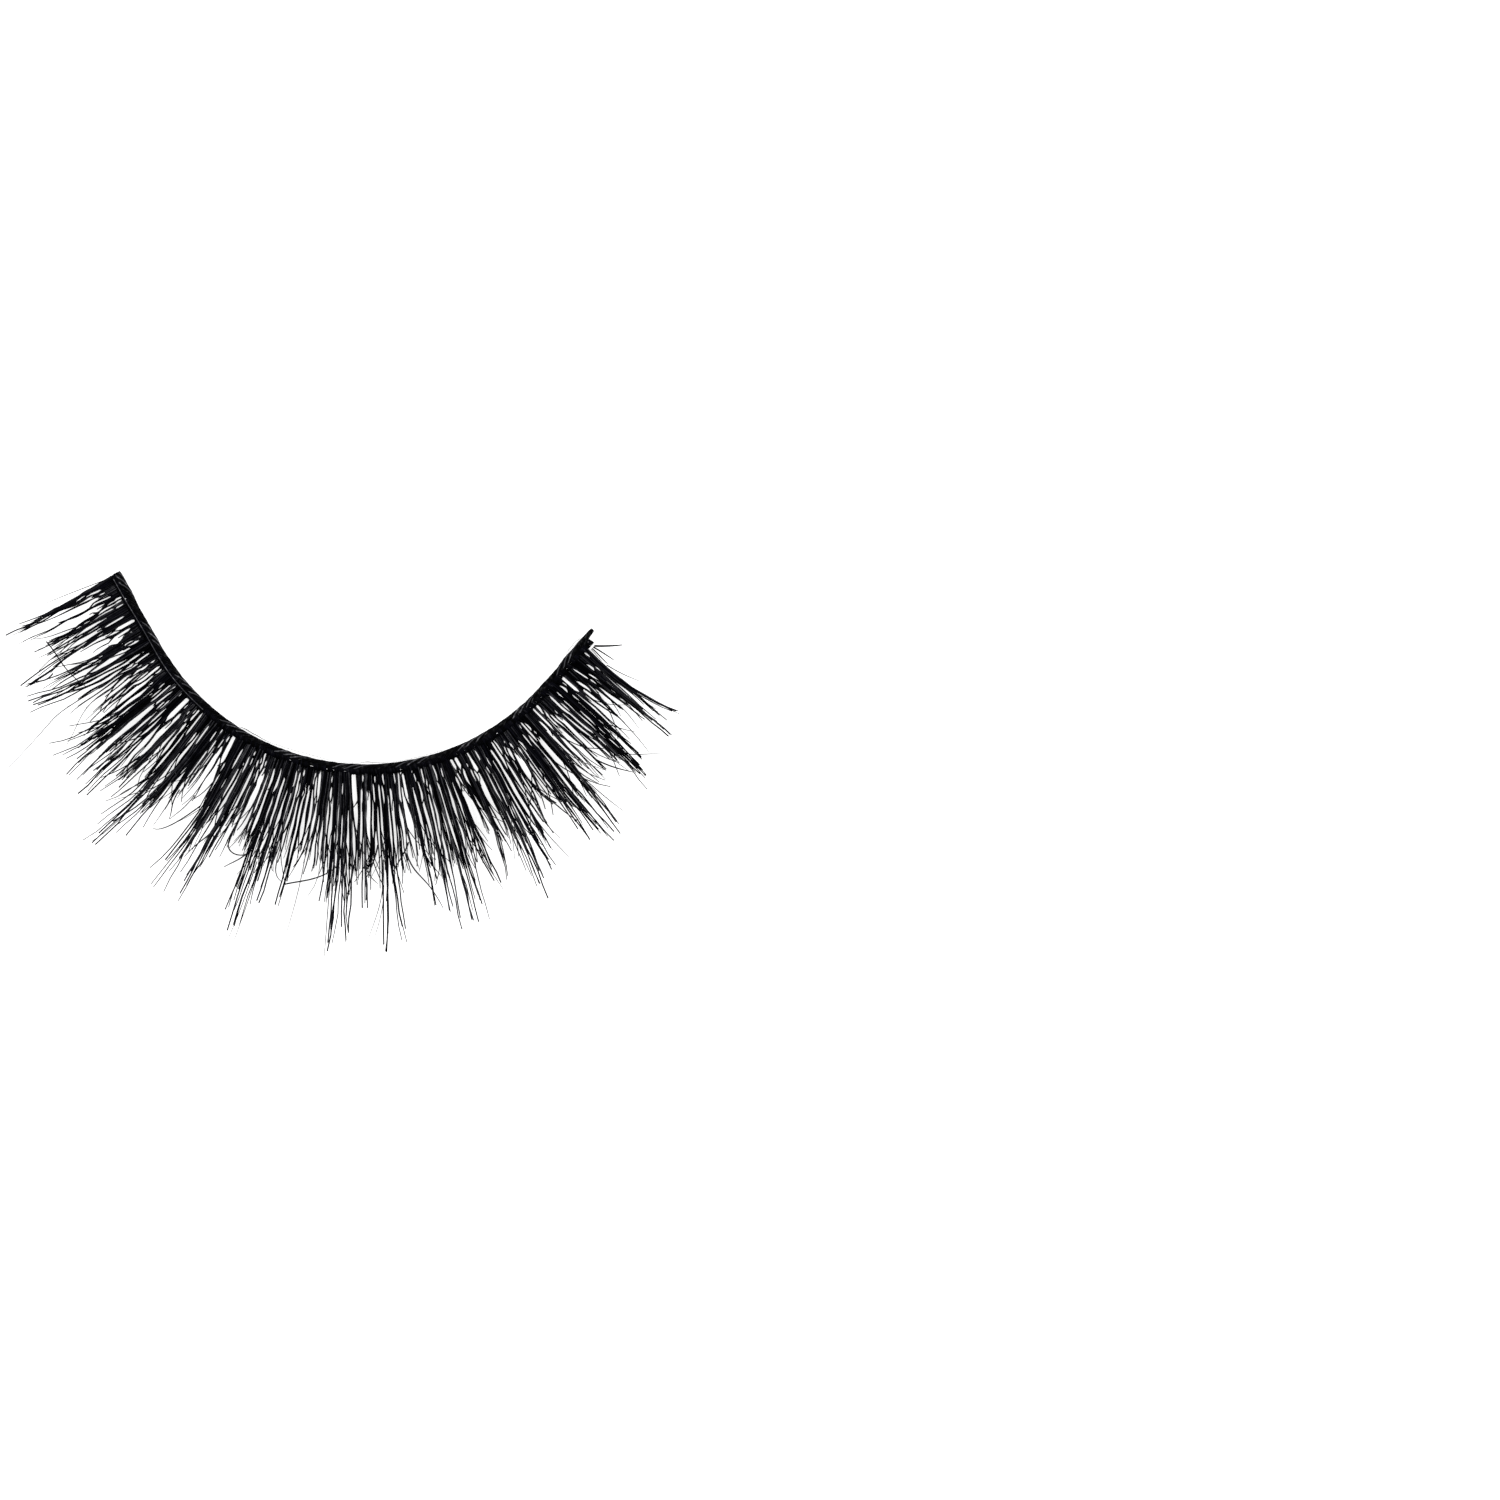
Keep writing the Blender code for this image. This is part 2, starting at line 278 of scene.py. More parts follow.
def make_glue():
    """Clear dried glue that is hardly seen; its rolled rim is coloured near black and mostly opaque, a
    painted shade that shows as a grey line.
    """
    finish = Finish("dried_glue")
    rim = finish.tone()
    haze = finish.noise(3.0)
    # painted shade: the rim is near black and mostly opaque, standing in for the dark edge of clear glue;
    # the sheet is light grey and nearly clear
    finish.set(Base_Color=finish.mix(rim, grey(0.50), grey(0.03)),
               Roughness=0.18 + haze * 0.2, Alpha=haze * 0.35 + rim * 0.65 - 0.02,
               Normal=finish.bump(finish.noise(6.0), 0.01, 0.5))
    return finish.material


hair_finish = make_hair()
yarn_finish = make_yarn()
glue_finish = make_glue()
print("finishes", [finish.name for finish in (hair_finish, yarn_finish, glue_finish)])

# %% [markdown]
# ## Drawing a hair
#
# A hair could be a curve object with a bevel, but a thousand of them are heavy to handle. So
# each hair is a tube of rings worked out with arrays, and many tubes are joined in one mesh.
# The side of a ring comes from a reference direction that the hair never runs along.

# %% Tubes joined in one mesh


class Bundle:
    """Many tubes that become one mesh, each with its own tone."""

    def __init__(self, sides):
        self.sides = sides
        self.points, self.faces, self.tones = [], [], []
        self.size = 0

    def add(self, path, radii, tone, reference=(0.0, 0.0, 1.0)):
        """A closed tube along the path's points, with a radius in metres at each."""
        ahead = np.gradient(path, axis=0)
        ahead /= np.linalg.norm(ahead, axis=1, keepdims=True)
        side = np.cross(ahead, reference)
        side /= np.linalg.norm(side, axis=1, keepdims=True)
        up = np.cross(side, ahead)
        angles = np.arange(self.sides) * math.tau / self.sides
        around = (np.cos(angles)[None, :, None] * side[:, None, :]
                  + np.sin(angles)[None, :, None] * up[:, None, :])
        self.add_rings(path[:, None, :] + around * np.reshape(radii, (-1, 1, 1)), tone)

    def add_rings(self, rings, tone):
        """A closed skin over a row of rings, each of them a loop of points."""
        count, sides = rings.shape[:2]
        self.points.append(rings.reshape(-1, 3))
        corner = np.arange(sides)
        following = (corner + 1) % sides
        for ring in range(count - 1):
            low = self.size + ring * sides
            high = low + sides
            for a, b in zip(corner, following):
                self.faces.append((low + a, low + b, high + b, high + a))
        last = self.size + (count - 1) * sides
        self.faces.append(tuple(self.size + corner[::-1]))
        self.faces.append(tuple(last + corner))
        self.size += count * sides
        self.tones.append(np.full(count * sides, tone, dtype=np.float32))

    def build(self, name, finish, replaced=()):
        """The joined mesh as a piece that rides on the strip."""
        mesh = bpy.data.meshes.new(name)
        mesh.from_pydata(np.concatenate(self.points).tolist(), [],
                         [tuple(int(v) for v in face) for face in self.faces])
        tone = mesh.attributes.new("tone", "FLOAT", "POINT")
        tone.data.foreach_set("value", np.concatenate(self.tones))
        mesh.materials.append(finish)
        mesh.shade_smooth()
        piece = bpy.data.objects.new(name, mesh)
        bpy.context.collection.objects.link(piece)
        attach(piece, "root")
        if replaced:
            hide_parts(*replaced)
        triangles = sum(len(face) - 2 for face in self.faces)
        print(name, len(self.tones), "tubes,", triangles, "triangles")


# %% [markdown]
# ## The strands
#
# Inside a tuft the hairs cling together in strands of up to three, with slits of white
# between them. That pattern is what the eye knows a lash strip by, so it is not left to
# chance: every strand of the close base layer has its own row, charted on enlarged views
# of the photograph. Three places fix a strand's course: its root, where it passes
# three millimetres out, and its tip.

# %% Chart of the strands
# columns: root along, along at three millimetres out, tip along, reach out, hairs
STRANDS = (
    (0.05, 0.08, -0.04, 5.6, 3), (0.13, 0.14, 0.12, 6.5, 3), (0.21, 0.2, 0.15, 6.2, 3),
    (0.29, 0.27, 0.06, 5.8, 2), (0.48, 0.33, 0.2, 4.7, 3), (0.72, 0.51, 0.34, 4.6, 3),
    (0.94, 0.92, 0.8, 6.3, 3), (1.08, 0.98, 0.86, 4.2, 1), (1.14, 1.46, 1.46, 5.1, 3),
    (1.36, 1.53, 1.5, 5.1, 3), (1.52, 1.6, 1.56, 5.7, 2), (1.7, 1.7, 1.66, 5.1, 3),
    (1.8, 1.75, 1.76, 4.9, 2), (1.92, 1.95, 1.98, 5.7, 3), (2.02, 2.04, 2.08, 5.0, 2),
    (2.13, 2.13, 2.05, 5.3, 2), (2.32, 2.39, 2.32, 4.8, 3), (2.43, 2.48, 2.98, 6.0, 3),
    (2.55, 2.56, 2.66, 5.0, 3), (2.6, 2.6, 2.6, 3.6, 1), (2.88, 2.76, 2.68, 4.0, 1),
    (3.0, 3.2, 3.24, 3.2, 1), (3.16, 3.37, 3.38, 5.4, 3), (3.28, 3.43, 3.1, 6.3, 2),
    (3.4, 3.48, 3.5, 6.4, 2), (3.52, 3.76, 4.16, 4.6, 2), (3.66, 3.58, 3.68, 4.8, 2),
    (3.84, 3.66, 3.8, 5.9, 2), (3.96, 3.82, 4.22, 4.6, 2), (4.08, 4.12, 4.22, 4.9, 3),
    (4.18, 4.2, 4.28, 5.6, 3), (4.3, 4.25, 4.14, 6.4, 3), (4.38, 4.42, 4.3, 5.2, 2),
    (4.54, 4.65, 4.38, 5.4, 3), (4.62, 4.8, 4.84, 5.4, 3), (4.86, 4.9, 4.92, 4.4, 1),
    (4.92, 5.0, 5.14, 6.0, 3), (5.02, 5.12, 5.34, 4.9, 2), (5.08, 5.24, 5.38, 4.4, 1),
    (5.24, 5.44, 5.64, 5.3, 3), (5.44, 5.52, 5.78, 4.4, 1), (5.48, 5.6, 5.8, 4.4, 2),
    (5.6, 5.68, 5.78, 5.4, 1), (5.66, 5.76, 5.9, 5.0, 1), (5.8, 5.96, 6.04, 5.8, 3),
    (5.92, 6.03, 6.08, 6.1, 2), (6.06, 6.22, 6.22, 5.6, 3), (6.16, 6.28, 6.34, 6.0, 2),
    (6.26, 6.41, 6.4, 6.0, 3), (6.34, 6.49, 6.54, 5.7, 3), (6.44, 6.55, 6.68, 6.6, 3),
    (6.54, 6.61, 6.7, 6.2, 3), (6.64, 6.68, 6.76, 6.2, 3), (6.76, 6.75, 6.8, 6.9, 3),
    (6.84, 6.8, 6.88, 6.0, 2), (7.0, 7.07, 7.12, 6.3, 3), (7.08, 7.12, 7.06, 5.5, 2),
    (7.17, 7.2, 7.28, 5.6, 1), (7.24, 7.32, 7.42, 5.8, 2), (7.33, 7.39, 7.46, 6.1, 3),
    (7.46, 7.52, 7.62, 6.4, 3), (7.56, 7.66, 7.66, 5.2, 2), (7.62, 7.75, 7.85, 5.6, 3),
    (7.67, 7.92, 8.12, 5.0, 2), (8.0, 7.96, 8.1, 5.8, 2), (8.12, 8.24, 8.18, 6.6, 3),
    (8.22, 8.28, 8.22, 5.7, 2), (8.3, 8.36, 8.48, 5.6, 3), (8.44, 8.44, 8.46, 4.6, 1),
    (8.5, 8.62, 8.84, 4.6, 1), (8.6, 8.82, 8.96, 5.2, 3), (8.78, 8.9, 8.96, 4.9, 1),
    (8.82, 9.02, 9.12, 6.0, 3), (8.96, 9.11, 9.14, 6.9, 3), (9.04, 9.18, 9.2, 5.8, 3),
    (9.13, 9.24, 9.34, 5.9, 3), (9.22, 9.27, 9.14, 6.3, 2), (9.36, 9.38, 9.5, 5.0, 3),
    (9.44, 9.57, 9.58, 5.6, 3), (9.52, 9.63, 9.5, 6.6, 3), (9.66, 9.7, 9.62, 6.0, 3),
    (9.75, 9.77, 9.56, 6.3, 3), (9.84, 9.82, 9.72, 6.4, 2), (9.92, 9.88, 9.9, 5.2, 3),
    (9.98, 9.96, 9.78, 5.8, 2), (10.04, 10.04, 10.16, 5.2, 3), (10.12, 10.11, 10.22, 5.5, 3),
    (10.2, 10.19, 10.28, 6.1, 3), (10.32, 10.31, 10.32, 4.9, 2), (10.42, 10.4, 10.38, 4.4, 1),
    (10.5, 10.48, 10.46, 4.2, 1), (10.62, 10.63, 10.6, 4.2, 2), (10.74, 10.92, 10.82, 5.1, 2),
    (10.82, 11.24, 11.38, 4.4, 2), (11.13, 11.29, 11.42, 4.8, 3), (11.22, 11.41, 11.46, 5.6, 3),
    (11.32, 11.49, 11.54, 5.8, 3), (11.42, 11.56, 11.62, 6.0, 3), (11.52, 11.62, 11.5, 6.9, 3),
    (11.62, 11.67, 11.72, 6.9, 3), (11.76, 11.75, 11.72, 5.6, 3), (11.84, 11.81, 11.8, 5.4, 2),
    (11.92, 11.89, 11.86, 5.7, 3), (12.02, 12.04, 11.9, 5.2, 2), (12.14, 12.22, 12.26, 5.7, 3),
    (12.24, 12.29, 12.28, 6.1, 3), (12.3, 12.26, 11.86, 5.2, 1), (12.42, 12.36, 12.42, 5.6, 2),
    (12.44, 12.45, 12.46, 5.4, 2), (12.52, 12.54, 12.48, 6.5, 3), (12.64, 12.72, 12.62, 4.8, 2),
    (12.72, 12.78, 12.82, 4.6, 2), (12.8, 12.9, 12.98, 5.7, 3), (12.96, 12.97, 12.9, 6.4, 3),
    (13.04, 13.02, 13.04, 5.0, 2), (13.12, 13.29, 13.1, 4.8, 2), (13.24, 13.37, 13.36, 5.6, 2),
    (13.34, 13.38, 13.44, 5.4, 1), (13.44, 13.51, 13.48, 5.6, 3), (13.52, 13.57, 13.58, 6.2, 3),
    (13.72, 13.75, 13.64, 5.8, 3), (13.8, 13.81, 13.74, 5.0, 2), (13.88, 13.87, 13.98, 5.4, 3),
    (13.98, 13.95, 13.92, 6.6, 2), (14.06, 14.08, 14.02, 5.6, 3), (14.15, 14.15, 14.14, 6.6, 2),
    (14.31, 14.33, 14.26, 6.3, 3), (14.38, 14.39, 14.32, 6.9, 3), (14.46, 14.45, 14.4, 5.8, 3),
    (14.6, 14.62, 14.58, 5.7, 3), (14.66, 14.69, 14.72, 6.3, 2), (14.78, 14.8, 14.78, 5.8, 3),
    (14.86, 14.88, 14.88, 5.5, 3), (15.0, 15.02, 14.98, 6.2, 2), (15.06, 15.08, 15.12, 4.7, 2),
    (15.15, 15.23, 15.34, 6.2, 3), (15.24, 15.29, 15.38, 6.6, 3), (15.38, 15.44, 15.5, 4.9, 1),
    (15.44, 15.48, 15.58, 5.5, 3), (15.54, 15.68, 15.7, 5.6, 3), (15.64, 15.74, 15.8, 5.0, 1),
    (15.68, 15.92, 15.95, 5.3, 2), (15.78, 15.97, 15.56, 6.3, 2), (16.08, 16.12, 16.06, 5.6, 3),
    (16.14, 16.18, 16.18, 5.2, 2), (16.24, 16.29, 16.32, 5.7, 3), (16.34, 16.37, 16.44, 5.6, 1),
    (16.4, 16.47, 16.62, 5.4, 3), (16.48, 16.54, 16.68, 5.8, 2), (16.56, 16.68, 16.82, 5.8, 3),
    (16.72, 16.88, 16.96, 6.6, 3), (16.8, 16.95, 17.02, 5.9, 3), (16.94, 17.05, 17.1, 6.3, 2),
    (17.03, 17.17, 17.24, 6.8, 3), (17.12, 17.23, 17.32, 6.2, 3), (17.2, 17.34, 17.36, 5.6, 3),
    (17.3, 17.41, 17.46, 6.9, 3), (17.38, 17.48, 17.54, 5.6, 2), (17.42, 17.62, 17.72, 6.2, 2),
    (17.46, 17.7, 17.84, 5.8, 2), (17.48, 17.82, 17.98, 5.6, 3), (17.92, 17.99, 17.74, 6.7, 2),
    (18.0, 18.05, 18.06, 5.9, 3), (18.22, 18.21, 18.12, 5.3, 3), (18.3, 18.29, 18.38, 6.2, 3),
    (18.38, 18.33, 18.42, 5.7, 1), (18.5, 18.59, 18.44, 5.7, 3), (18.62, 18.72, 18.64, 5.0, 2),
    (18.72, 18.78, 18.4, 5.9, 2), (18.84, 18.84, 18.9, 6.3, 2), (18.92, 18.96, 19.08, 5.6, 3),
    (19.08, 19.14, 19.12, 6.0, 3), (19.16, 19.2, 19.1, 6.9, 3), (19.28, 19.28, 19.24, 5.6, 3),
    (19.36, 19.33, 19.42, 5.5, 3), (19.45, 19.48, 19.38, 6.5, 2), (19.66, 19.68, 19.6, 5.4, 3),
    (19.74, 19.74, 19.72, 6.2, 2), (19.82, 19.8, 19.8, 5.7, 3), (19.88, 19.85, 19.98, 5.3, 2),
    (19.94, 20.03, 20.12, 5.0, 3), (20.06, 20.1, 20.32, 5.6, 3), (20.12, 20.44, 20.5, 4.6, 2),
    (20.36, 20.43, 20.34, 5.2, 3), (20.44, 20.52, 20.64, 5.4, 3), (20.52, 20.59, 20.72, 5.9, 3),
    (20.6, 20.66, 20.76, 5.4, 2), (20.74, 20.85, 20.78, 5.7, 3), (20.84, 20.91, 20.86, 6.1, 2),
    (20.94, 20.98, 21.02, 5.7, 3), (21.04, 21.14, 21.2, 6.4, 3), (21.14, 21.2, 21.14, 6.7, 3),
    (21.34, 21.27, 21.34, 6.1, 3), (21.42, 21.42, 21.32, 6.9, 3), (21.5, 21.58, 21.48, 6.4, 3),
    (21.6, 21.65, 21.6, 5.9, 3), (21.7, 21.71, 21.7, 5.4, 2), (21.78, 21.82, 21.8, 6.2, 3),
    (21.84, 21.87, 21.94, 6.8, 3), (21.98, 22.03, 22.04, 5.2, 3), (22.06, 22.1, 22.06, 6.4, 3),
    (22.16, 22.17, 22.2, 6.7, 3), (22.26, 22.25, 22.26, 5.5, 3), (22.36, 22.42, 22.34, 5.9, 2),
    (22.44, 22.46, 22.52, 5.0, 2), (22.54, 22.56, 22.52, 5.7, 3), (22.62, 22.7, 22.46, 6.4, 2),
    (22.7, 22.77, 22.66, 5.6, 3), (22.78, 22.84, 22.78, 6.1, 3), (22.8, 22.88, 23.02, 5.2, 1),
    (22.84, 23.24, 23.26, 4.5, 2), (22.98, 23.32, 23.34, 5.0, 2), (23.06, 23.43, 23.6, 4.8, 2),
    (23.34, 23.5, 23.64, 5.0, 3), (23.42, 23.58, 23.74, 5.6, 3), (23.52, 23.65, 23.82, 6.2, 3),
    (23.62, 23.74, 23.96, 5.5, 2), (23.76, 23.8, 24.02, 5.9, 1), (23.92, 24.06, 24.0, 5.6, 3),
    (24.02, 24.13, 24.16, 5.9, 3), (24.1, 24.2, 24.22, 6.9, 3), (24.2, 24.27, 24.3, 6.3, 3),
    (24.34, 24.4, 24.38, 7.0, 3), (24.42, 24.46, 24.48, 5.6, 2), (24.54, 24.58, 24.52, 6.1, 3),
    (24.62, 24.66, 24.66, 5.5, 3), (24.72, 24.74, 24.8, 6.5, 3), (24.8, 24.79, 24.86, 5.6, 2),
    (24.9, 24.92, 24.84, 6.9, 3), (24.98, 24.98, 25.02, 5.5, 3), (25.1, 25.17, 25.1, 6.7, 3),
    (25.18, 25.22, 25.26, 6.5, 2), (25.3, 25.33, 25.42, 5.7, 2), (25.44, 25.47, 25.52, 6.2, 3),
    (25.52, 25.56, 25.54, 5.8, 2), (25.66, 25.6, 25.5, 5.4, 1), (25.76, 25.72, 25.6, 5.2, 2),
    (25.86, 25.8, 26.28, 5.7, 3), (25.96, 25.82, 25.88, 5.0, 1), (26.06, 26.07, 25.84, 4.5, 3),
    (26.14, 26.13, 26.14, 5.0, 2), (26.22, 26.22, 26.26, 4.9, 1), (26.3, 26.34, 26.38, 5.6, 3),
    (26.42, 26.46, 26.44, 5.4, 2), (26.5, 26.54, 26.56, 6.1, 3), (26.56, 26.62, 26.62, 6.9, 3),
    (26.64, 26.69, 26.76, 5.9, 3), (26.74, 26.76, 26.84, 5.6, 3), (26.84, 26.83, 26.88, 6.8, 3),
    (26.9, 26.89, 26.94, 6.9, 3), (26.98, 26.97, 27.0, 5.8, 3), (27.06, 27.12, 27.1, 6.2, 3),
    (27.18, 27.17, 27.2, 5.7, 3), (27.38, 27.47, 27.46, 5.9, 3), (27.46, 27.53, 27.54, 5.7, 3),
    (27.54, 27.59, 27.62, 6.0, 3), (27.62, 27.67, 27.64, 6.3, 2), (27.72, 27.75, 27.78, 4.7, 3),
    (27.8, 27.81, 27.98, 5.9, 1), (27.94, 27.97, 27.98, 4.6, 3), (28.02, 28.04, 28.1, 5.0, 2),
    (28.14, 28.2, 28.24, 5.7, 3), (28.22, 28.24, 28.3, 4.6, 1), (28.42, 28.47, 28.54, 5.0, 3),
    (28.48, 28.52, 28.6, 5.5, 1), (28.56, 28.63, 28.58, 4.5, 3), (28.66, 28.8, 28.7, 4.5, 1),
    (28.76, 28.88, 28.92, 5.0, 3), (28.86, 28.94, 29.0, 5.7, 3), (28.96, 29.07, 29.12, 5.6, 3),
    (29.06, 29.14, 29.2, 6.3, 3), (29.18, 29.3, 29.34, 6.6, 3), (29.28, 29.36, 29.38, 5.8, 3),
    (29.38, 29.42, 29.44, 6.8, 3), (29.52, 29.54, 29.5, 6.4, 3), (29.6, 29.58, 29.58, 4.9, 2),
    (29.72, 29.74, 29.58, 5.8, 3), (29.8, 29.8, 29.64, 5.3, 3), (29.86, 29.86, 29.7, 4.9, 2),
    (29.94, 29.92, 29.98, 4.8, 2), (30.02, 30.04, 30.04, 6.2, 3), (30.1, 30.11, 30.1, 5.3, 3),
    (30.18, 30.18, 30.16, 4.9, 3), (30.26, 30.36, 30.38, 5.3, 3), (30.5, 30.64, 30.76, 3.9, 2),
    (30.62, 30.78, 30.8, 4.0, 3), (30.72, 30.84, 30.8, 3.9, 1), (31.04, 30.9, 30.78, 4.6, 2),
    (31.06, 31.2, 31.26, 4.0, 2), (31.14, 31.25, 31.3, 4.4, 3), (31.24, 31.45, 31.62, 4.9, 2),
    (31.34, 31.52, 31.62, 4.3, 1), (31.44, 31.62, 31.82, 4.6, 2), (31.54, 31.7, 31.92, 5.4, 1),
    (31.66, 31.8, 31.98, 5.8, 2), (31.78, 31.88, 31.94, 6.3, 1), (31.9, 31.97, 32.06, 5.3, 2),
    (32.02, 32.08, 32.14, 5.1, 1), (32.12, 32.18, 32.26, 4.5, 2), (32.22, 32.27, 32.34, 5.3, 2),
    (32.3, 32.33, 32.4, 5.6, 3), (32.38, 32.4, 32.44, 5.4, 3), (32.41, 32.44, 33.08, 6.2, 2),
)
print(len(STRANDS), "strands with", sum(row[4] for row in STRANDS), "hairs")

# %% [markdown]
# ## The slits at the root
#
# Near the band the spaces between the strands are filled by short and broken hairs, and
# white slits open at their own distances, some of them straight from the knots. They were
# charted like the strands, and the hairs are then moved aside wherever they lie in one.

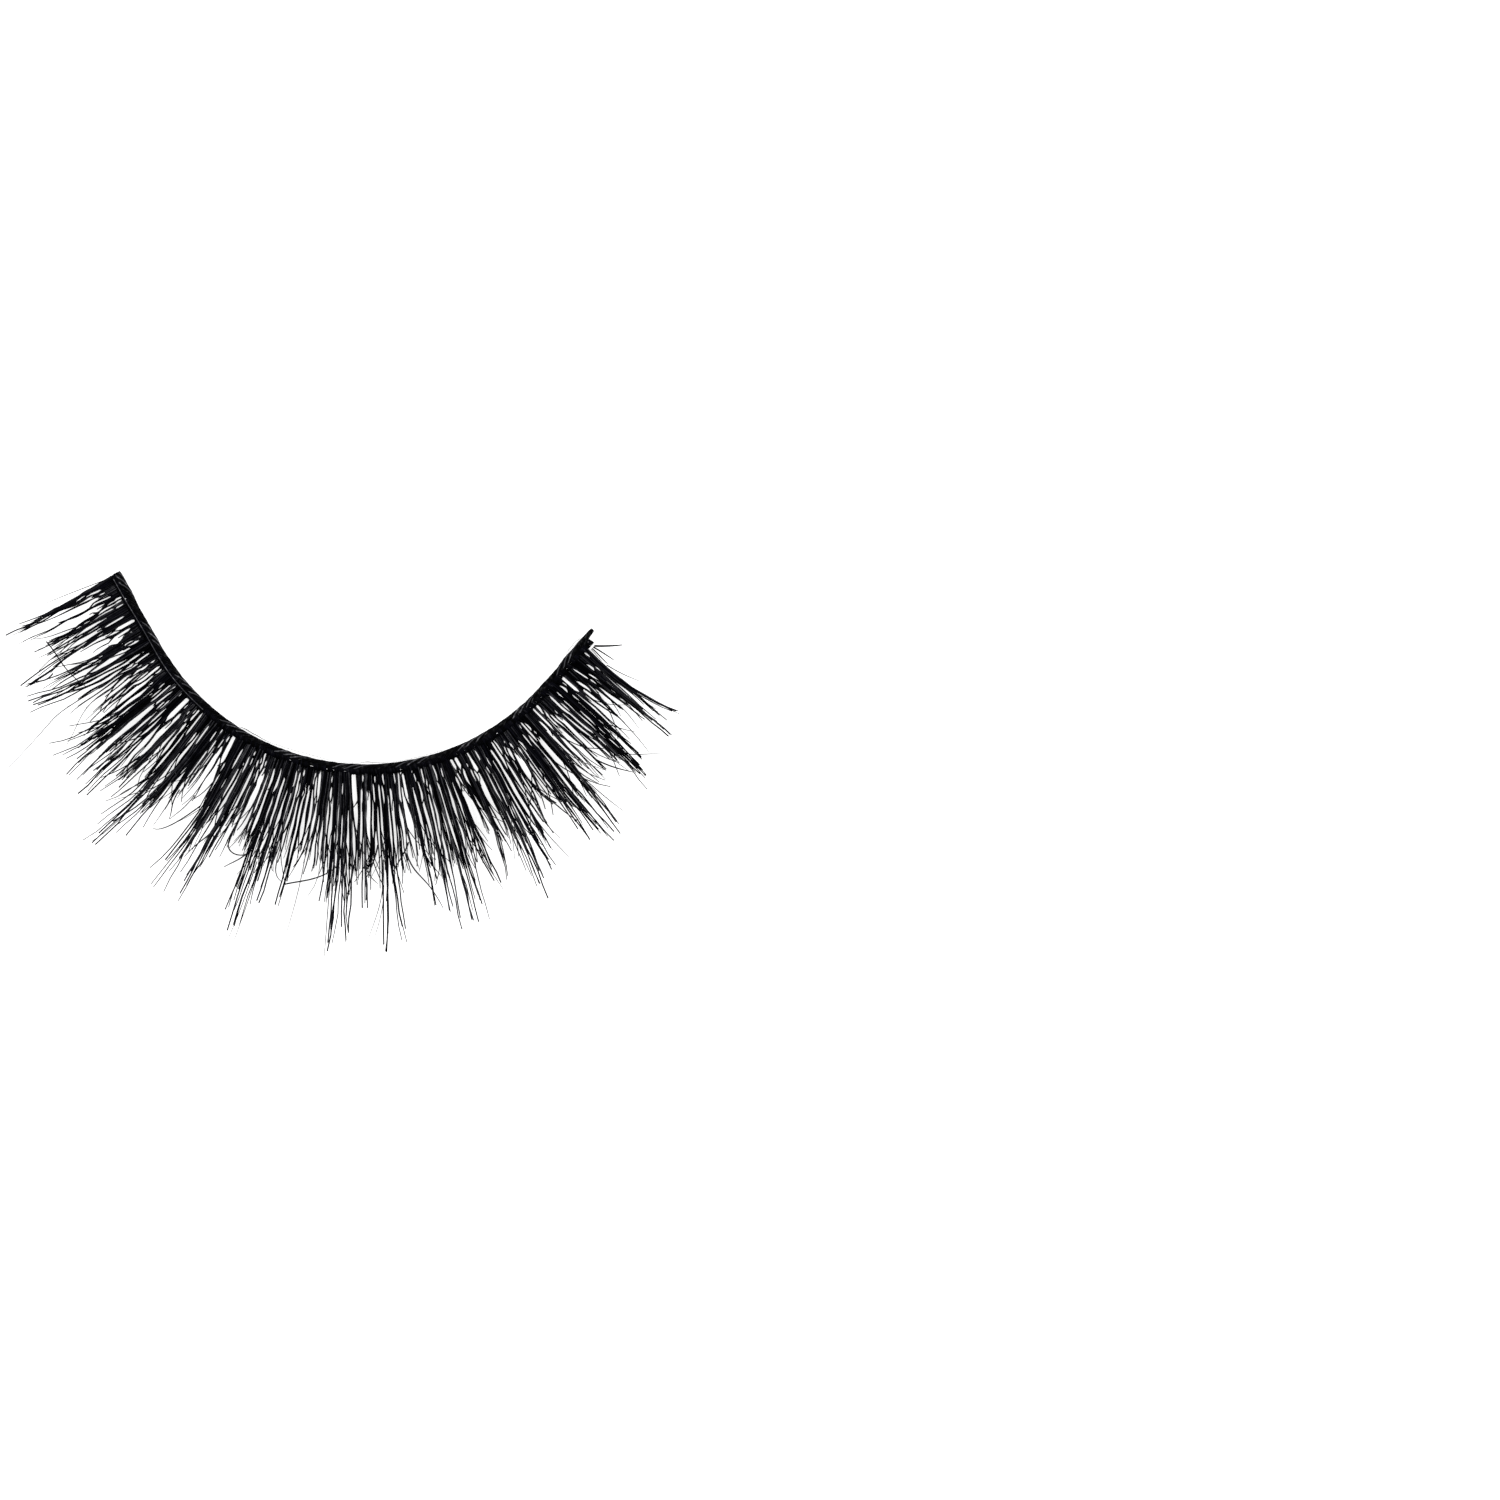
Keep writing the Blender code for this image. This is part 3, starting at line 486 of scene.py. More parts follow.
# %% Chart of the slits
# columns: along and out where a slit opens, along where it ends, width, and out where it ends
# unless it runs on between the strands
SLITS = (
    (0.4, 1.06, 0.32, 0.1), (0.62, 1.0, 0.6, 0.06, 1.3), (0.69, 1.4, 0.65, 0.06), (0.97, 0.8, 0.87, 0.08),
    (1.23, 1.48, 1.27, 0.08), (1.29, 0.32, 1.23, 0.1, 0.66), (1.31, 0.72, 1.28, 0.1, 1.19),
    (1.41, 0.35, 1.41, 0.08, 1.6), (1.66, 0.43, 1.65, 0.06, 0.9), (1.6, 1.0, 1.57, 0.05),
    (2.25, 0.72, 2.26, 0.09), (2.71, 0.32, 2.69, 0.2, 1.43), (2.77, 1.2, 2.77, 0.1),
    (2.91, 0.56, 2.91, 0.07, 0.64), (2.99, 0.78, 3.03, 0.12), (3.18, 0.74, 3.2, 0.09, 0.93),
    (3.15, 1.3, 3.28, 0.12), (3.64, 0.45, 3.64, 0.05, 0.6), (3.64, 0.9, 3.64, 0.1, 1.45),
    (3.79, 0.68, 3.75, 0.12, 1.4), (3.9, 1.37, 3.91, 0.07), (4.45, 0.72, 4.45, 0.05, 0.9),
    (4.45, 1.03, 4.49, 0.08, 1.6), (4.66, 0.53, 4.74, 0.08, 1.42), (4.72, 1.5, 4.75, 0.1),
    (4.98, 1.25, 4.99, 0.05, 1.5), (5.15, 0.53, 5.15, 0.08, 0.74), (5.13, 0.85, 5.22, 0.05, 1.3),
    (5.11, 1.37, 5.16, 0.09), (5.46, 1.13, 5.49, 0.06), (5.53, 0.43, 5.64, 0.12),
    (5.73, 0.4, 5.76, 0.07, 0.77), (5.74, 0.98, 5.85, 0.05), (6.0, 1.2, 6.02, 0.06, 1.4),
    (6.26, 0.85, 6.27, 0.05, 1.03), (6.4, 0.74, 6.44, 0.05, 1.24), (6.43, 1.53, 6.43, 0.06),
    (6.53, 1.0, 6.56, 0.04), (6.66, 0.5, 6.71, 0.06), (6.91, 0.38, 6.87, 0.06, 0.88),
    (6.98, 0.53, 6.94, 0.06), (7.13, 1.37, 7.13, 0.06), (7.24, 0.98, 7.24, 0.05),
    (7.39, 0.42, 7.4, 0.08, 0.52), (7.82, 0.25, 7.84, 0.25), (8.03, 0.6, 8.04, 0.07, 0.83),
    (8.12, 1.15, 8.12, 0.13), (8.33, 0.68, 8.34, 0.05, 1.03), (8.5, 1.1, 8.52, 0.06, 1.3),
    (8.54, 0.45, 8.55, 0.05, 0.77), (8.66, 0.3, 8.67, 0.09, 1.13), (8.6, 1.35, 8.65, 0.12),
    (8.9, 0.35, 8.98, 0.09), (9.28, 1.35, 9.33, 0.06), (9.58, 0.62, 9.62, 0.08),
    (10.06, 0.6, 10.08, 0.05, 1.35), (10.27, 0.32, 10.27, 0.06, 0.6), (10.32, 1.03, 10.33, 0.05),
    (10.6, 0.77, 10.6, 0.04, 1.4), (10.77, 0.42, 10.77, 0.07, 0.82), (10.76, 1.15, 10.78, 0.12),
    (10.97, 0.22, 11.1, 0.22), (11.7, 0.67, 11.7, 0.08), (11.84, 0.55, 11.84, 0.07, 0.64),
    (12.07, 1.3, 12.08, 0.05, 1.5), (12.19, 0.8, 12.23, 0.08), (12.34, 0.47, 12.35, 0.1, 0.68),
    (12.38, 0.8, 12.41, 0.06, 1.25), (12.67, 0.77, 12.71, 0.07, 1.2), (12.77, 0.58, 12.84, 0.05, 1.0),
    (12.86, 0.3, 12.98, 0.09, 1.3), (12.85, 1.3, 12.92, 0.08), (13.06, 0.62, 13.08, 0.06, 1.0),
    (13.13, 1.1, 13.06, 0.06), (13.2, 1.4, 13.22, 0.09), (13.6, 0.95, 13.68, 0.09),
    (13.93, 0.74, 14.0, 0.06), (14.24, 1.2, 14.23, 0.07, 1.6), (14.78, 0.45, 14.82, 0.06, 0.68),
    (14.71, 0.66, 14.79, 0.07, 1.42), (14.9, 0.66, 14.97, 0.07), (15.1, 0.5, 15.11, 0.08, 0.87),
    (15.02, 1.1, 15.08, 0.05), (15.29, 1.55, 15.29, 0.07), (15.39, 1.5, 15.4, 0.07),
    (15.7, 0.48, 15.68, 0.05, 1.2), (15.78, 0.7, 15.86, 0.07), (15.92, 0.4, 16.02, 0.13),
    (16.57, 0.5, 16.58, 0.05, 0.87), (16.6, 1.13, 16.62, 0.08), (17.16, 0.8, 17.17, 0.04, 1.5),
    (17.67, 0.27, 17.8, 0.27), (18.18, 0.35, 18.18, 0.08, 0.67), (18.12, 1.1, 18.13, 0.07),
    (18.39, 1.25, 18.4, 0.05, 1.5), (18.8, 0.4, 18.79, 0.05, 0.8), (18.7, 0.87, 18.74, 0.06),
    (18.97, 0.87, 19.01, 0.07), (19.2, 0.3, 19.24, 0.08, 0.98), (19.14, 0.87, 19.2, 0.07),
    (19.42, 1.5, 19.42, 0.07), (19.55, 1.1, 19.56, 0.09), (19.8, 0.3, 19.83, 0.05, 0.92),
    (20.05, 0.35, 19.97, 0.07), (20.17, 0.2, 20.17, 0.1, 0.42), (20.26, 0.4, 20.3, 0.12),
    (20.13, 1.17, 20.14, 0.09), (20.75, 0.3, 20.75, 0.12, 0.42), (20.83, 0.45, 20.88, 0.05, 0.93),
    (20.64, 1.43, 20.67, 0.08), (20.96, 0.93, 21.04, 0.05), (21.26, 0.32, 21.27, 0.07, 1.13),
    (21.43, 0.88, 21.35, 0.05, 1.5), (21.52, 1.3, 21.51, 0.06), (21.9, 0.32, 21.98, 0.07, 1.13),
    (21.88, 1.3, 21.93, 0.08), (22.28, 0.55, 22.25, 0.05, 1.13), (22.9, 0.22, 23.0, 0.15, 0.93),
    (23.16, 0.2, 23.24, 0.18, 0.95), (22.82, 1.25, 22.87, 0.09), (22.95, 1.03, 23.03, 0.05),
    (23.1, 0.98, 23.14, 0.05, 1.27), (23.34, 1.08, 23.3, 0.1, 1.56), (23.6, 0.82, 23.61, 0.05, 1.1),
    (23.67, 1.25, 23.67, 0.06), (23.8, 1.43, 23.84, 0.07), (23.83, 0.24, 24.0, 0.07, 1.43),
    (24.26, 0.35, 24.32, 0.06, 0.93), (24.42, 1.37, 24.43, 0.07), (24.66, 0.98, 24.6, 0.04, 1.5),
    (24.94, 0.55, 24.97, 0.12, 0.68), (25.0, 0.72, 25.08, 0.1), (25.26, 0.48, 25.3, 0.1),
    (25.4, 0.43, 25.43, 0.09, 1.3), (25.48, 1.43, 25.49, 0.05), (25.63, 0.78, 25.63, 0.07, 0.88),
    (25.68, 1.03, 25.63, 0.06, 1.5), (25.79, 1.17, 25.76, 0.13), (25.84, 0.7, 25.84, 0.08, 0.81),
    (26.0, 0.98, 26.03, 0.09, 1.28), (26.24, 1.4, 26.24, 0.07), (26.3, 0.78, 26.3, 0.06, 0.88),
    (26.45, 1.1, 26.5, 0.08, 1.58), (26.8, 0.98, 26.82, 0.05), (26.94, 0.45, 26.94, 0.05, 0.77),
    (26.99, 1.3, 26.99, 0.06), (27.1, 0.4, 27.16, 0.08), (27.25, 0.63, 27.29, 0.07, 1.1),
    (27.35, 1.3, 27.35, 0.06, 1.45), (27.87, 1.08, 27.9, 0.08), (28.05, 0.3, 28.1, 0.09, 1.6),
    (28.32, 0.25, 28.3, 0.14, 0.93), (28.4, 0.6, 28.36, 0.09), (28.49, 1.17, 28.49, 0.06),
    (28.64, 1.48, 28.64, 0.08), (28.78, 1.15, 28.79, 0.04, 1.5), (29.15, 0.43, 29.12, 0.1, 1.6),
    (29.28, 1.15, 29.28, 0.07), (29.49, 1.25, 29.49, 0.04), (29.56, 0.6, 29.57, 0.07, 1.08),
    (29.94, 0.5, 30.03, 0.1, 1.03), (30.02, 1.37, 30.03, 0.07), (30.17, 0.45, 30.19, 0.04, 0.87),
    (30.36, 0.25, 30.37, 0.18, 1.45), (30.73, 1.07, 30.83, 0.13), (31.1, 0.45, 31.25, 0.07, 1.45),
    (31.3, 1.5, 31.32, 0.1), (31.46, 1.2, 31.53, 0.07), (31.78, 0.83, 31.88, 0.05, 1.25),
    (32.0, 1.25, 32.02, 0.06, 1.5), (32.16, 0.2, 32.2, 0.08, 0.67),
)
SLIT_TO = 1.70  # a slit that runs on is charted as far out as this
SLIT_OPENS = 0.10  # over this length a slit reaches its width
SLIT_CLOSES = 0.12  # over this length it closes again
SLIT_FREE_FROM = 1.55  # a slit charted beyond this runs on between the strands
SLIT_RUNS_ON = 0.40  # and closes over this length
SLIT_CLEAR = 0.76  # the share of a charted width that is clear of hairs


def eased(value):
    """From 0 to 1 with soft ends."""
    value = np.clip(value, 0.0, 1.0)
    return value * value * (3.0 - 2.0 * value)


def parted(along, out, radius):
    """A hair's places along, moved aside so that it stays on its own side of each slit."""
    opens_at, opens, ends_at, width, ends = SLIT_COLUMNS
    middle = opens_at + (ends_at - opens_at) * (out - opens) / (ends - opens)
    closing = np.where(ends > SLIT_FREE_FROM, SLIT_RUNS_ON, SLIT_CLOSES)
    share = eased((out - opens) / SLIT_OPENS) * eased((ends + closing - out) / closing)
    room = (width / 2 * SLIT_CLEAR + radius) * share
    first = np.array([np.interp(place, out, along) for place in opens[:, 0]])[:, None]
    side = np.where(first >= opens_at, 1.0, -1.0)
    return along + (side * np.maximum(room - side * (along - middle), 0.0) * (share > 0)).sum(axis=0)


SLIT_COLUMNS = np.array([(row + (SLIT_TO,))[:5] for row in SLITS]).T[:, :, None]
print(len(SLITS), "slits at the root")

# %% [markdown]
# ## Growing the base layer
#
# The hairs of a strand leave one knot together, fan out a little in their first millimetres
# and cling together again towards the tip. Each hair therefore follows its strand's course
# at its own side of it, and it thins mostly over its last third. Small differences between
# the hairs are left to chance, but from one seeded generator, so that each run gives the
# same strip.

# %% Base hairs
HAIR_SIDES = 5
HAIR_RINGS = 18
HAIR_FROM = 0.24  # hairs start inside the knots, this far out
HAIR_RADIUS = 0.041
HAIR_RADII = (0.88, 1.10)  # and the shares of it that chance gives
HAIR_DRAWN = (0.35, 0.62)  # a hair has lost one or the other share of its radius at its end
HAIR_LEVELS = (0.15, 0.85)  # where in its layer's thickness a hair lies
RING_CROWDING = 1.5  # above one, the rings stand closer near the root
LONGEST = 9.95  # no hair of a strand or spike reaches further out than this
ROOT_OUT = 0.5
WAIST_OUT = 3.0
SPREAD_OUT = (0.5, 1.2, 2.0, 3.0, 4.0, 5.0)
SPREAD = (0.018, 0.023, 0.024, 0.018, 0.008, 0.004)  # half of a strand's fan at each
CLING_GAP = 0.110  # strands nearer than this are drawn together
CLING = 0.012
LONE_HAIR = 1.2  # a strand of one hair is a thicker one
STRAND_ENDS = (0.88, 1.02)  # shares of the charted reach where a strand ends
HAIR_ENDS = ((0.97, 1.02), (1.0, 1.14), (0.93, 1.0))  # and its three hairs, as shares of that
TIP_SPREAD = 0.045
WAVE = 0.011  # the crimp that the hairs of a strand share
WAVE_DEPTHS = (0.3, 1.7)
WAVE_RATES = (1.6, 3.4)  # radians to the millimetre
WAVE_FULL = 1.5  # the wave grows as far out as this
OUTER_WAVE = 1.4  # added to its depth at the outer end, and fading over OUTER_PART
OUTER_PART = 10.0
CROSSERS = 130  # single hairs that leave their strand and cross others
CROSSER_ASTRAY = (0.22, 0.70)
CROSSER_ENDS = (0.92, 1.12)
CROSSER_RADII = (0.70, 0.95)
END_STRANDS = 9  # none of them leaves the last strands at either end
chance = np.random.default_rng(7)


def through(places, values, at):
    """The smooth curve through a few values at given places."""
    total = np.zeros_like(at)
    for i, value in enumerate(values):
        weight = np.ones_like(at)
        for j, place in enumerate(places):
            if j != i:
                weight = weight * (at - place) / (places[i] - place)
        total = total + weight * value
    return total


def hair_radii(share, radius, drawn):
    """A hair's radius in metres along its length: the drawn share is gone at its end."""
    return radius * (1.0 - drawn * share ** 3) * MM


def strand_crimp(root):
    """A slight wave along a strand, stronger near the outer end, by the distance out."""
    outer = OUTER_WAVE * max(0.0, 1.0 - root / OUTER_PART)
    depth = WAVE * chance.uniform(*WAVE_DEPTHS) * (1.0 + outer)
    rate = chance.uniform(*WAVE_RATES)
    start = chance.uniform(0, math.tau)
    return lambda out: depth * np.sin(out * rate + start) * np.minimum(out, WAVE_FULL)


def grow_hair(bundle, course, end, low, side, radius, crimp, drawn=HAIR_DRAWN):
    """One hair along a strand's course, from inside the knots to its end."""
    root, waist, tip, reach = course
    end = min(end, LONGEST)
    share = np.linspace(0.0, 1.0, HAIR_RINGS)
    out = HAIR_FROM + (end - HAIR_FROM) * share ** RING_CROWDING
    share = (out - HAIR_FROM) / (end - HAIR_FROM)
    along = through((ROOT_OUT, WAIST_OUT, reach), (root, waist, tip), out)
    along = along + side * np.interp(out, SPREAD_OUT, SPREAD) + crimp(out)
    along = parted(along, out, radius) + chance.normal(0, TIP_SPREAD) * share ** 4
    level = low + max(radius, LAYER_THICKNESS * chance.uniform(*HAIR_LEVELS))
    radii = hair_radii(share, radius, chance.choice(drawn))
    bundle.add(on_curl(along, out, level), radii, chance.random())


def clung(places):
    """The strands' places with close neighbours drawn together, which opens the slits."""
    gaps = np.diff(places)
    close = np.concatenate([[False], (gaps > 0) & (gaps < CLING_GAP), [False]]).astype(float)
    return places + CLING * (close[1:] - close[:-1])


base_hairs = Bundle(HAIR_SIDES)
columns = np.array(STRANDS).T
courses = list(zip(columns[0], clung(columns[1]), clung(columns[2]), columns[3]))
for course, (root, _, _, reach, hairs) in zip(courses, STRANDS):
    crimp = strand_crimp(root)
    strand_end = reach * chance.uniform(*STRAND_ENDS)
    for hair in range(hairs):
        side = 0.0 if hairs == 1 else 2.0 * hair / (hairs - 1) - 1.0
        end = strand_end * chance.uniform(*HAIR_ENDS[hair])
        radius = HAIR_RADIUS * chance.uniform(*HAIR_RADII) * (LONE_HAIR if hairs == 1 else 1.0)
        grow_hair(base_hairs, course, end, 0.0, side, radius, crimp)

inner_strands = np.arange(END_STRANDS, len(STRANDS) - END_STRANDS)
for number in chance.choice(inner_strands, CROSSERS, replace=False):
    root, waist, tip, reach = courses[number]
    astray = chance.choice((-1, 1)) * chance.uniform(*CROSSER_ASTRAY)
    end = reach * chance.uniform(*CROSSER_ENDS)
    radius = HAIR_RADIUS * chance.uniform(*CROSSER_RADII)
    grow_hair(base_hairs, (root, waist, tip + astray, reach), end, 0.0, 0.0, radius,
              strand_crimp(root))
base_hairs.build("base_lash_hairs", hair_finish, ["base_lashes"])

# %% [markdown]
# ## The root hairs
#
# The short hairs that fill the root are only seen as its black ground. They stand as close
# as they can, and the slits part them. The chart holds the stretches where their ends could
# be read, and between those chance says how long they are.

# %% Root hairs
# columns: along from, along to, and reach out where it is more than SHORT_FROM
ROOT_FILL = (
    (0.0, 1.18), (1.46, 1.6), (1.68, 2.18, 1.9), (2.32, 2.58), (3.02, 3.16), (3.22, 3.62), (3.86, 4.4),
    (4.5, 4.64), (4.76, 5.1), (5.24, 5.48), (5.6, 5.66), (5.78, 6.36), (6.4, 6.86), (6.96, 7.2),
    (7.26, 7.68), (8.0, 8.06), (8.12, 8.3), (8.36, 8.48), (8.54, 8.62), (8.72, 8.86), (8.96, 9.28),
    (9.34, 9.56), (9.64, 10.22, 2.0), (10.28, 10.84), (11.12, 11.66, 1.7), (11.74, 12.16), (12.22, 12.34),
    (12.42, 12.64), (12.7, 12.82), (13.02, 13.6), (13.68, 13.9), (14.0, 14.2, 1.6), (14.26, 14.68, 1.6),
    (14.78, 14.88), (14.94, 15.04), (15.12, 15.6), (15.68, 15.76), (16.04, 16.56, 1.6),
    (16.66, 17.44, 1.9), (17.9, 18.12), (18.18, 18.68), (18.72, 18.94), (19.04, 19.14), (19.26, 19.5),
    (19.58, 19.96, 1.7), (20.06, 20.14), (20.38, 20.6, 1.6), (20.66, 20.94), (20.96, 21.2), (21.3, 21.84),
    (21.98, 22.4, 1.7), (22.42, 22.8), (22.98, 23.06), (23.3, 23.8), (23.9, 24.22), (24.32, 24.44),
    (24.46, 24.84), (24.86, 24.96), (25.08, 25.2), (25.3, 25.36), (25.44, 25.66), (25.74, 25.98),
    (26.06, 26.4), (26.48, 26.96, 1.8), (27.02, 27.08), (27.18, 27.26), (27.32, 27.84, 1.8),
    (27.92, 28.04), (28.12, 28.24), (28.4, 28.46), (28.5, 28.64), (28.66, 29.06, 1.7), (29.16, 29.26),
    (29.32, 29.52), (29.58, 29.64, 1.6), (29.7, 29.92, 1.9), (30.04, 30.28), (30.46, 30.7),
    (30.74, 31.06), (31.1, 31.16), (31.24, 31.4), (31.42, 31.98), (32.02, 32.14), (32.22, 32.42, 2.0),
)
ROOT_PITCH = 0.045
ROOT_JITTER = 0.006
ROOT_RINGS = 11
ROOT_LEVELS = (0.22, 0.9)
ROOT_DRAWN = 0.4
FIRST_LASH = 0.02
LAST_LASH = 32.40
SHORT_FROM = 1.5  # before chance, no short hair is shorter than this
SHORT_TO = 2.5
CHARTED_ENDS = (0.85, 1.20)  # shares of the charted reach


def fill_reach(place):
    """How far out a short hair goes: about as charted, and elsewhere by chance."""
    for along_from, along_to, *longer in ROOT_FILL:
        if along_from <= place <= along_to:
            reach = longer[0] if longer else SHORT_FROM
            return reach * chance.uniform(*CHARTED_ENDS)
    return chance.uniform(SHORT_FROM, SHORT_TO)


root_hairs = Bundle(HAIR_SIDES)
share = np.linspace(0.0, 1.0, ROOT_RINGS)
radii = hair_radii(share, HAIR_RADIUS, ROOT_DRAWN)
for place in np.arange(FIRST_LASH, LAST_LASH, ROOT_PITCH):
    out = HAIR_FROM + (fill_reach(place) - HAIR_FROM) * share
    along = np.full(ROOT_RINGS, place + chance.normal(0, ROOT_JITTER))
    along = parted(along, out, HAIR_RADIUS)
    level = LAYER_THICKNESS * chance.uniform(*ROOT_LEVELS)
    root_hairs.add(on_curl(along, out, level), radii, chance.random())
root_hairs.build("root_hairs", hair_finish)

# %% [markdown]
# ## The spikes
#
# Over the base layer lie longer, thinner tufts that give the strip its uneven edge. A spike
# runs with the strands below it for the first millimetres, which keeps their slits open, and
# then goes to a tip of its own. Only towards the outer end do the spikes fan out there.

# %% Chart of the spikes
# columns: root from, root to, tip along, reach out
SPIKES = (
    (0.0, 0.4, 0.12, 6.3), (2.3, 2.7, 2.95, 7.0), (4.1, 4.6, 4.02, 7.3), (6.05, 6.5, 6.2, 7.4),
    (6.6, 7.0, 6.85, 7.9), (7.25, 7.65, 7.58, 7.6), (8.1, 8.5, 8.18, 6.8), (8.82, 9.32, 8.98, 8.9),
    (9.42, 9.95, 9.5, 7.6), (11.15, 11.75, 11.4, 8.8), (11.75, 12.1, 11.76, 7.7),
    (12.12, 12.42, 12.22, 8.8), (12.45, 12.7, 12.46, 6.8), (13.7, 13.98, 13.9, 8.5),
    (13.98, 14.45, 14.24, 9.2), (14.45, 14.8, 14.66, 7.5), (15.2, 15.45, 15.38, 7.3),
    (16.5, 16.86, 16.9, 6.8), (16.86, 17.2, 17.28, 9.6), (17.2, 17.46, 17.7, 8.8),
    (18.2, 18.5, 18.36, 6.9), (18.9, 19.22, 19.06, 9.5), (19.22, 19.45, 19.56, 8.7),
    (20.5, 20.8, 20.78, 7.2), (21.15, 21.5, 21.32, 8.6), (21.76, 22.02, 21.92, 9.4),
    (22.06, 22.36, 22.22, 8.7), (22.56, 22.84, 23.0, 7.4), (23.4, 23.7, 23.42, 7.2),
    (24.02, 24.34, 24.16, 8.3), (24.34, 24.66, 24.42, 8.6), (24.66, 24.94, 24.88, 7.7),
    (25.02, 25.22, 25.18, 6.8), (26.3, 26.6, 26.48, 7.3), (26.6, 27.02, 26.93, 8.0),
    (27.06, 27.32, 27.28, 8.2), (27.4, 27.68, 27.52, 7.9), (29.16, 29.5, 29.2, 7.4),
    (29.5, 29.88, 29.46, 7.2), (30.0, 30.22, 30.06, 6.3), (31.5, 31.95, 31.98, 6.3),
    (32.1, 32.42, 33.02, 6.1),
)

# %% Spike hairs
SPIKE_LOW = LAYER_THICKNESS + LAYER_GAP
SPIKE_MARGIN = 0.03
SPIKE_STRANDS = 5
SPIKE_OVER = 4.5  # a spike follows only strands that reach further out than this
SPIKE_OPEN = 0.8  # share of their spacing that a spike's hairs keep at the tip
OUTER_OPEN = 1.8  # the same towards the outer end, where the spikes fan out
OUTER_SPIKES = 12.0
SPIKE_ENDS = (0.88, 1.10)
SPIKE_RADII = (0.98, 1.20)
SPIKE_DRAWN = (0.10, 0.45)

spike_hairs = Bundle(HAIR_SIDES)
for root_from, root_to, tip, reach in SPIKES:
    middle = (root_from + root_to) / 2
    below = [row for row in STRANDS
             if root_from - SPIKE_MARGIN <= row[0] <= root_to + SPIKE_MARGIN
             and row[3] > SPIKE_OVER]
    below.sort(key=lambda row: abs(row[0] - middle))
    opened = OUTER_OPEN if middle < OUTER_SPIKES else SPIKE_OPEN
    for number, (root, waist, _, _, _) in enumerate(below[:SPIKE_STRANDS]):
        course = (root, waist, tip + opened * (root - middle), reach)
        crimp = strand_crimp(root)
        for _ in range(2 if number == 0 else 1):
            end = reach * chance.uniform(*SPIKE_ENDS)
            side = chance.uniform(-1, 1)
            radius = HAIR_RADIUS * chance.uniform(*SPIKE_RADII)
            grow_hair(spike_hairs, course, end, SPIKE_LOW, side, radius, crimp, SPIKE_DRAWN)
spike_hairs.build("spike_lash_hairs", hair_finish, ["spike_lashes"])

# %% [markdown]
# ## Stray hairs
#
# Some hairs escaped their tuft and cross their neighbours or stand alone at the ends. They
# are few, but the eye finds them first, so each is charted on its own as a smooth curve
# through four places. The thinnest ones are only a grey trace in the photograph.

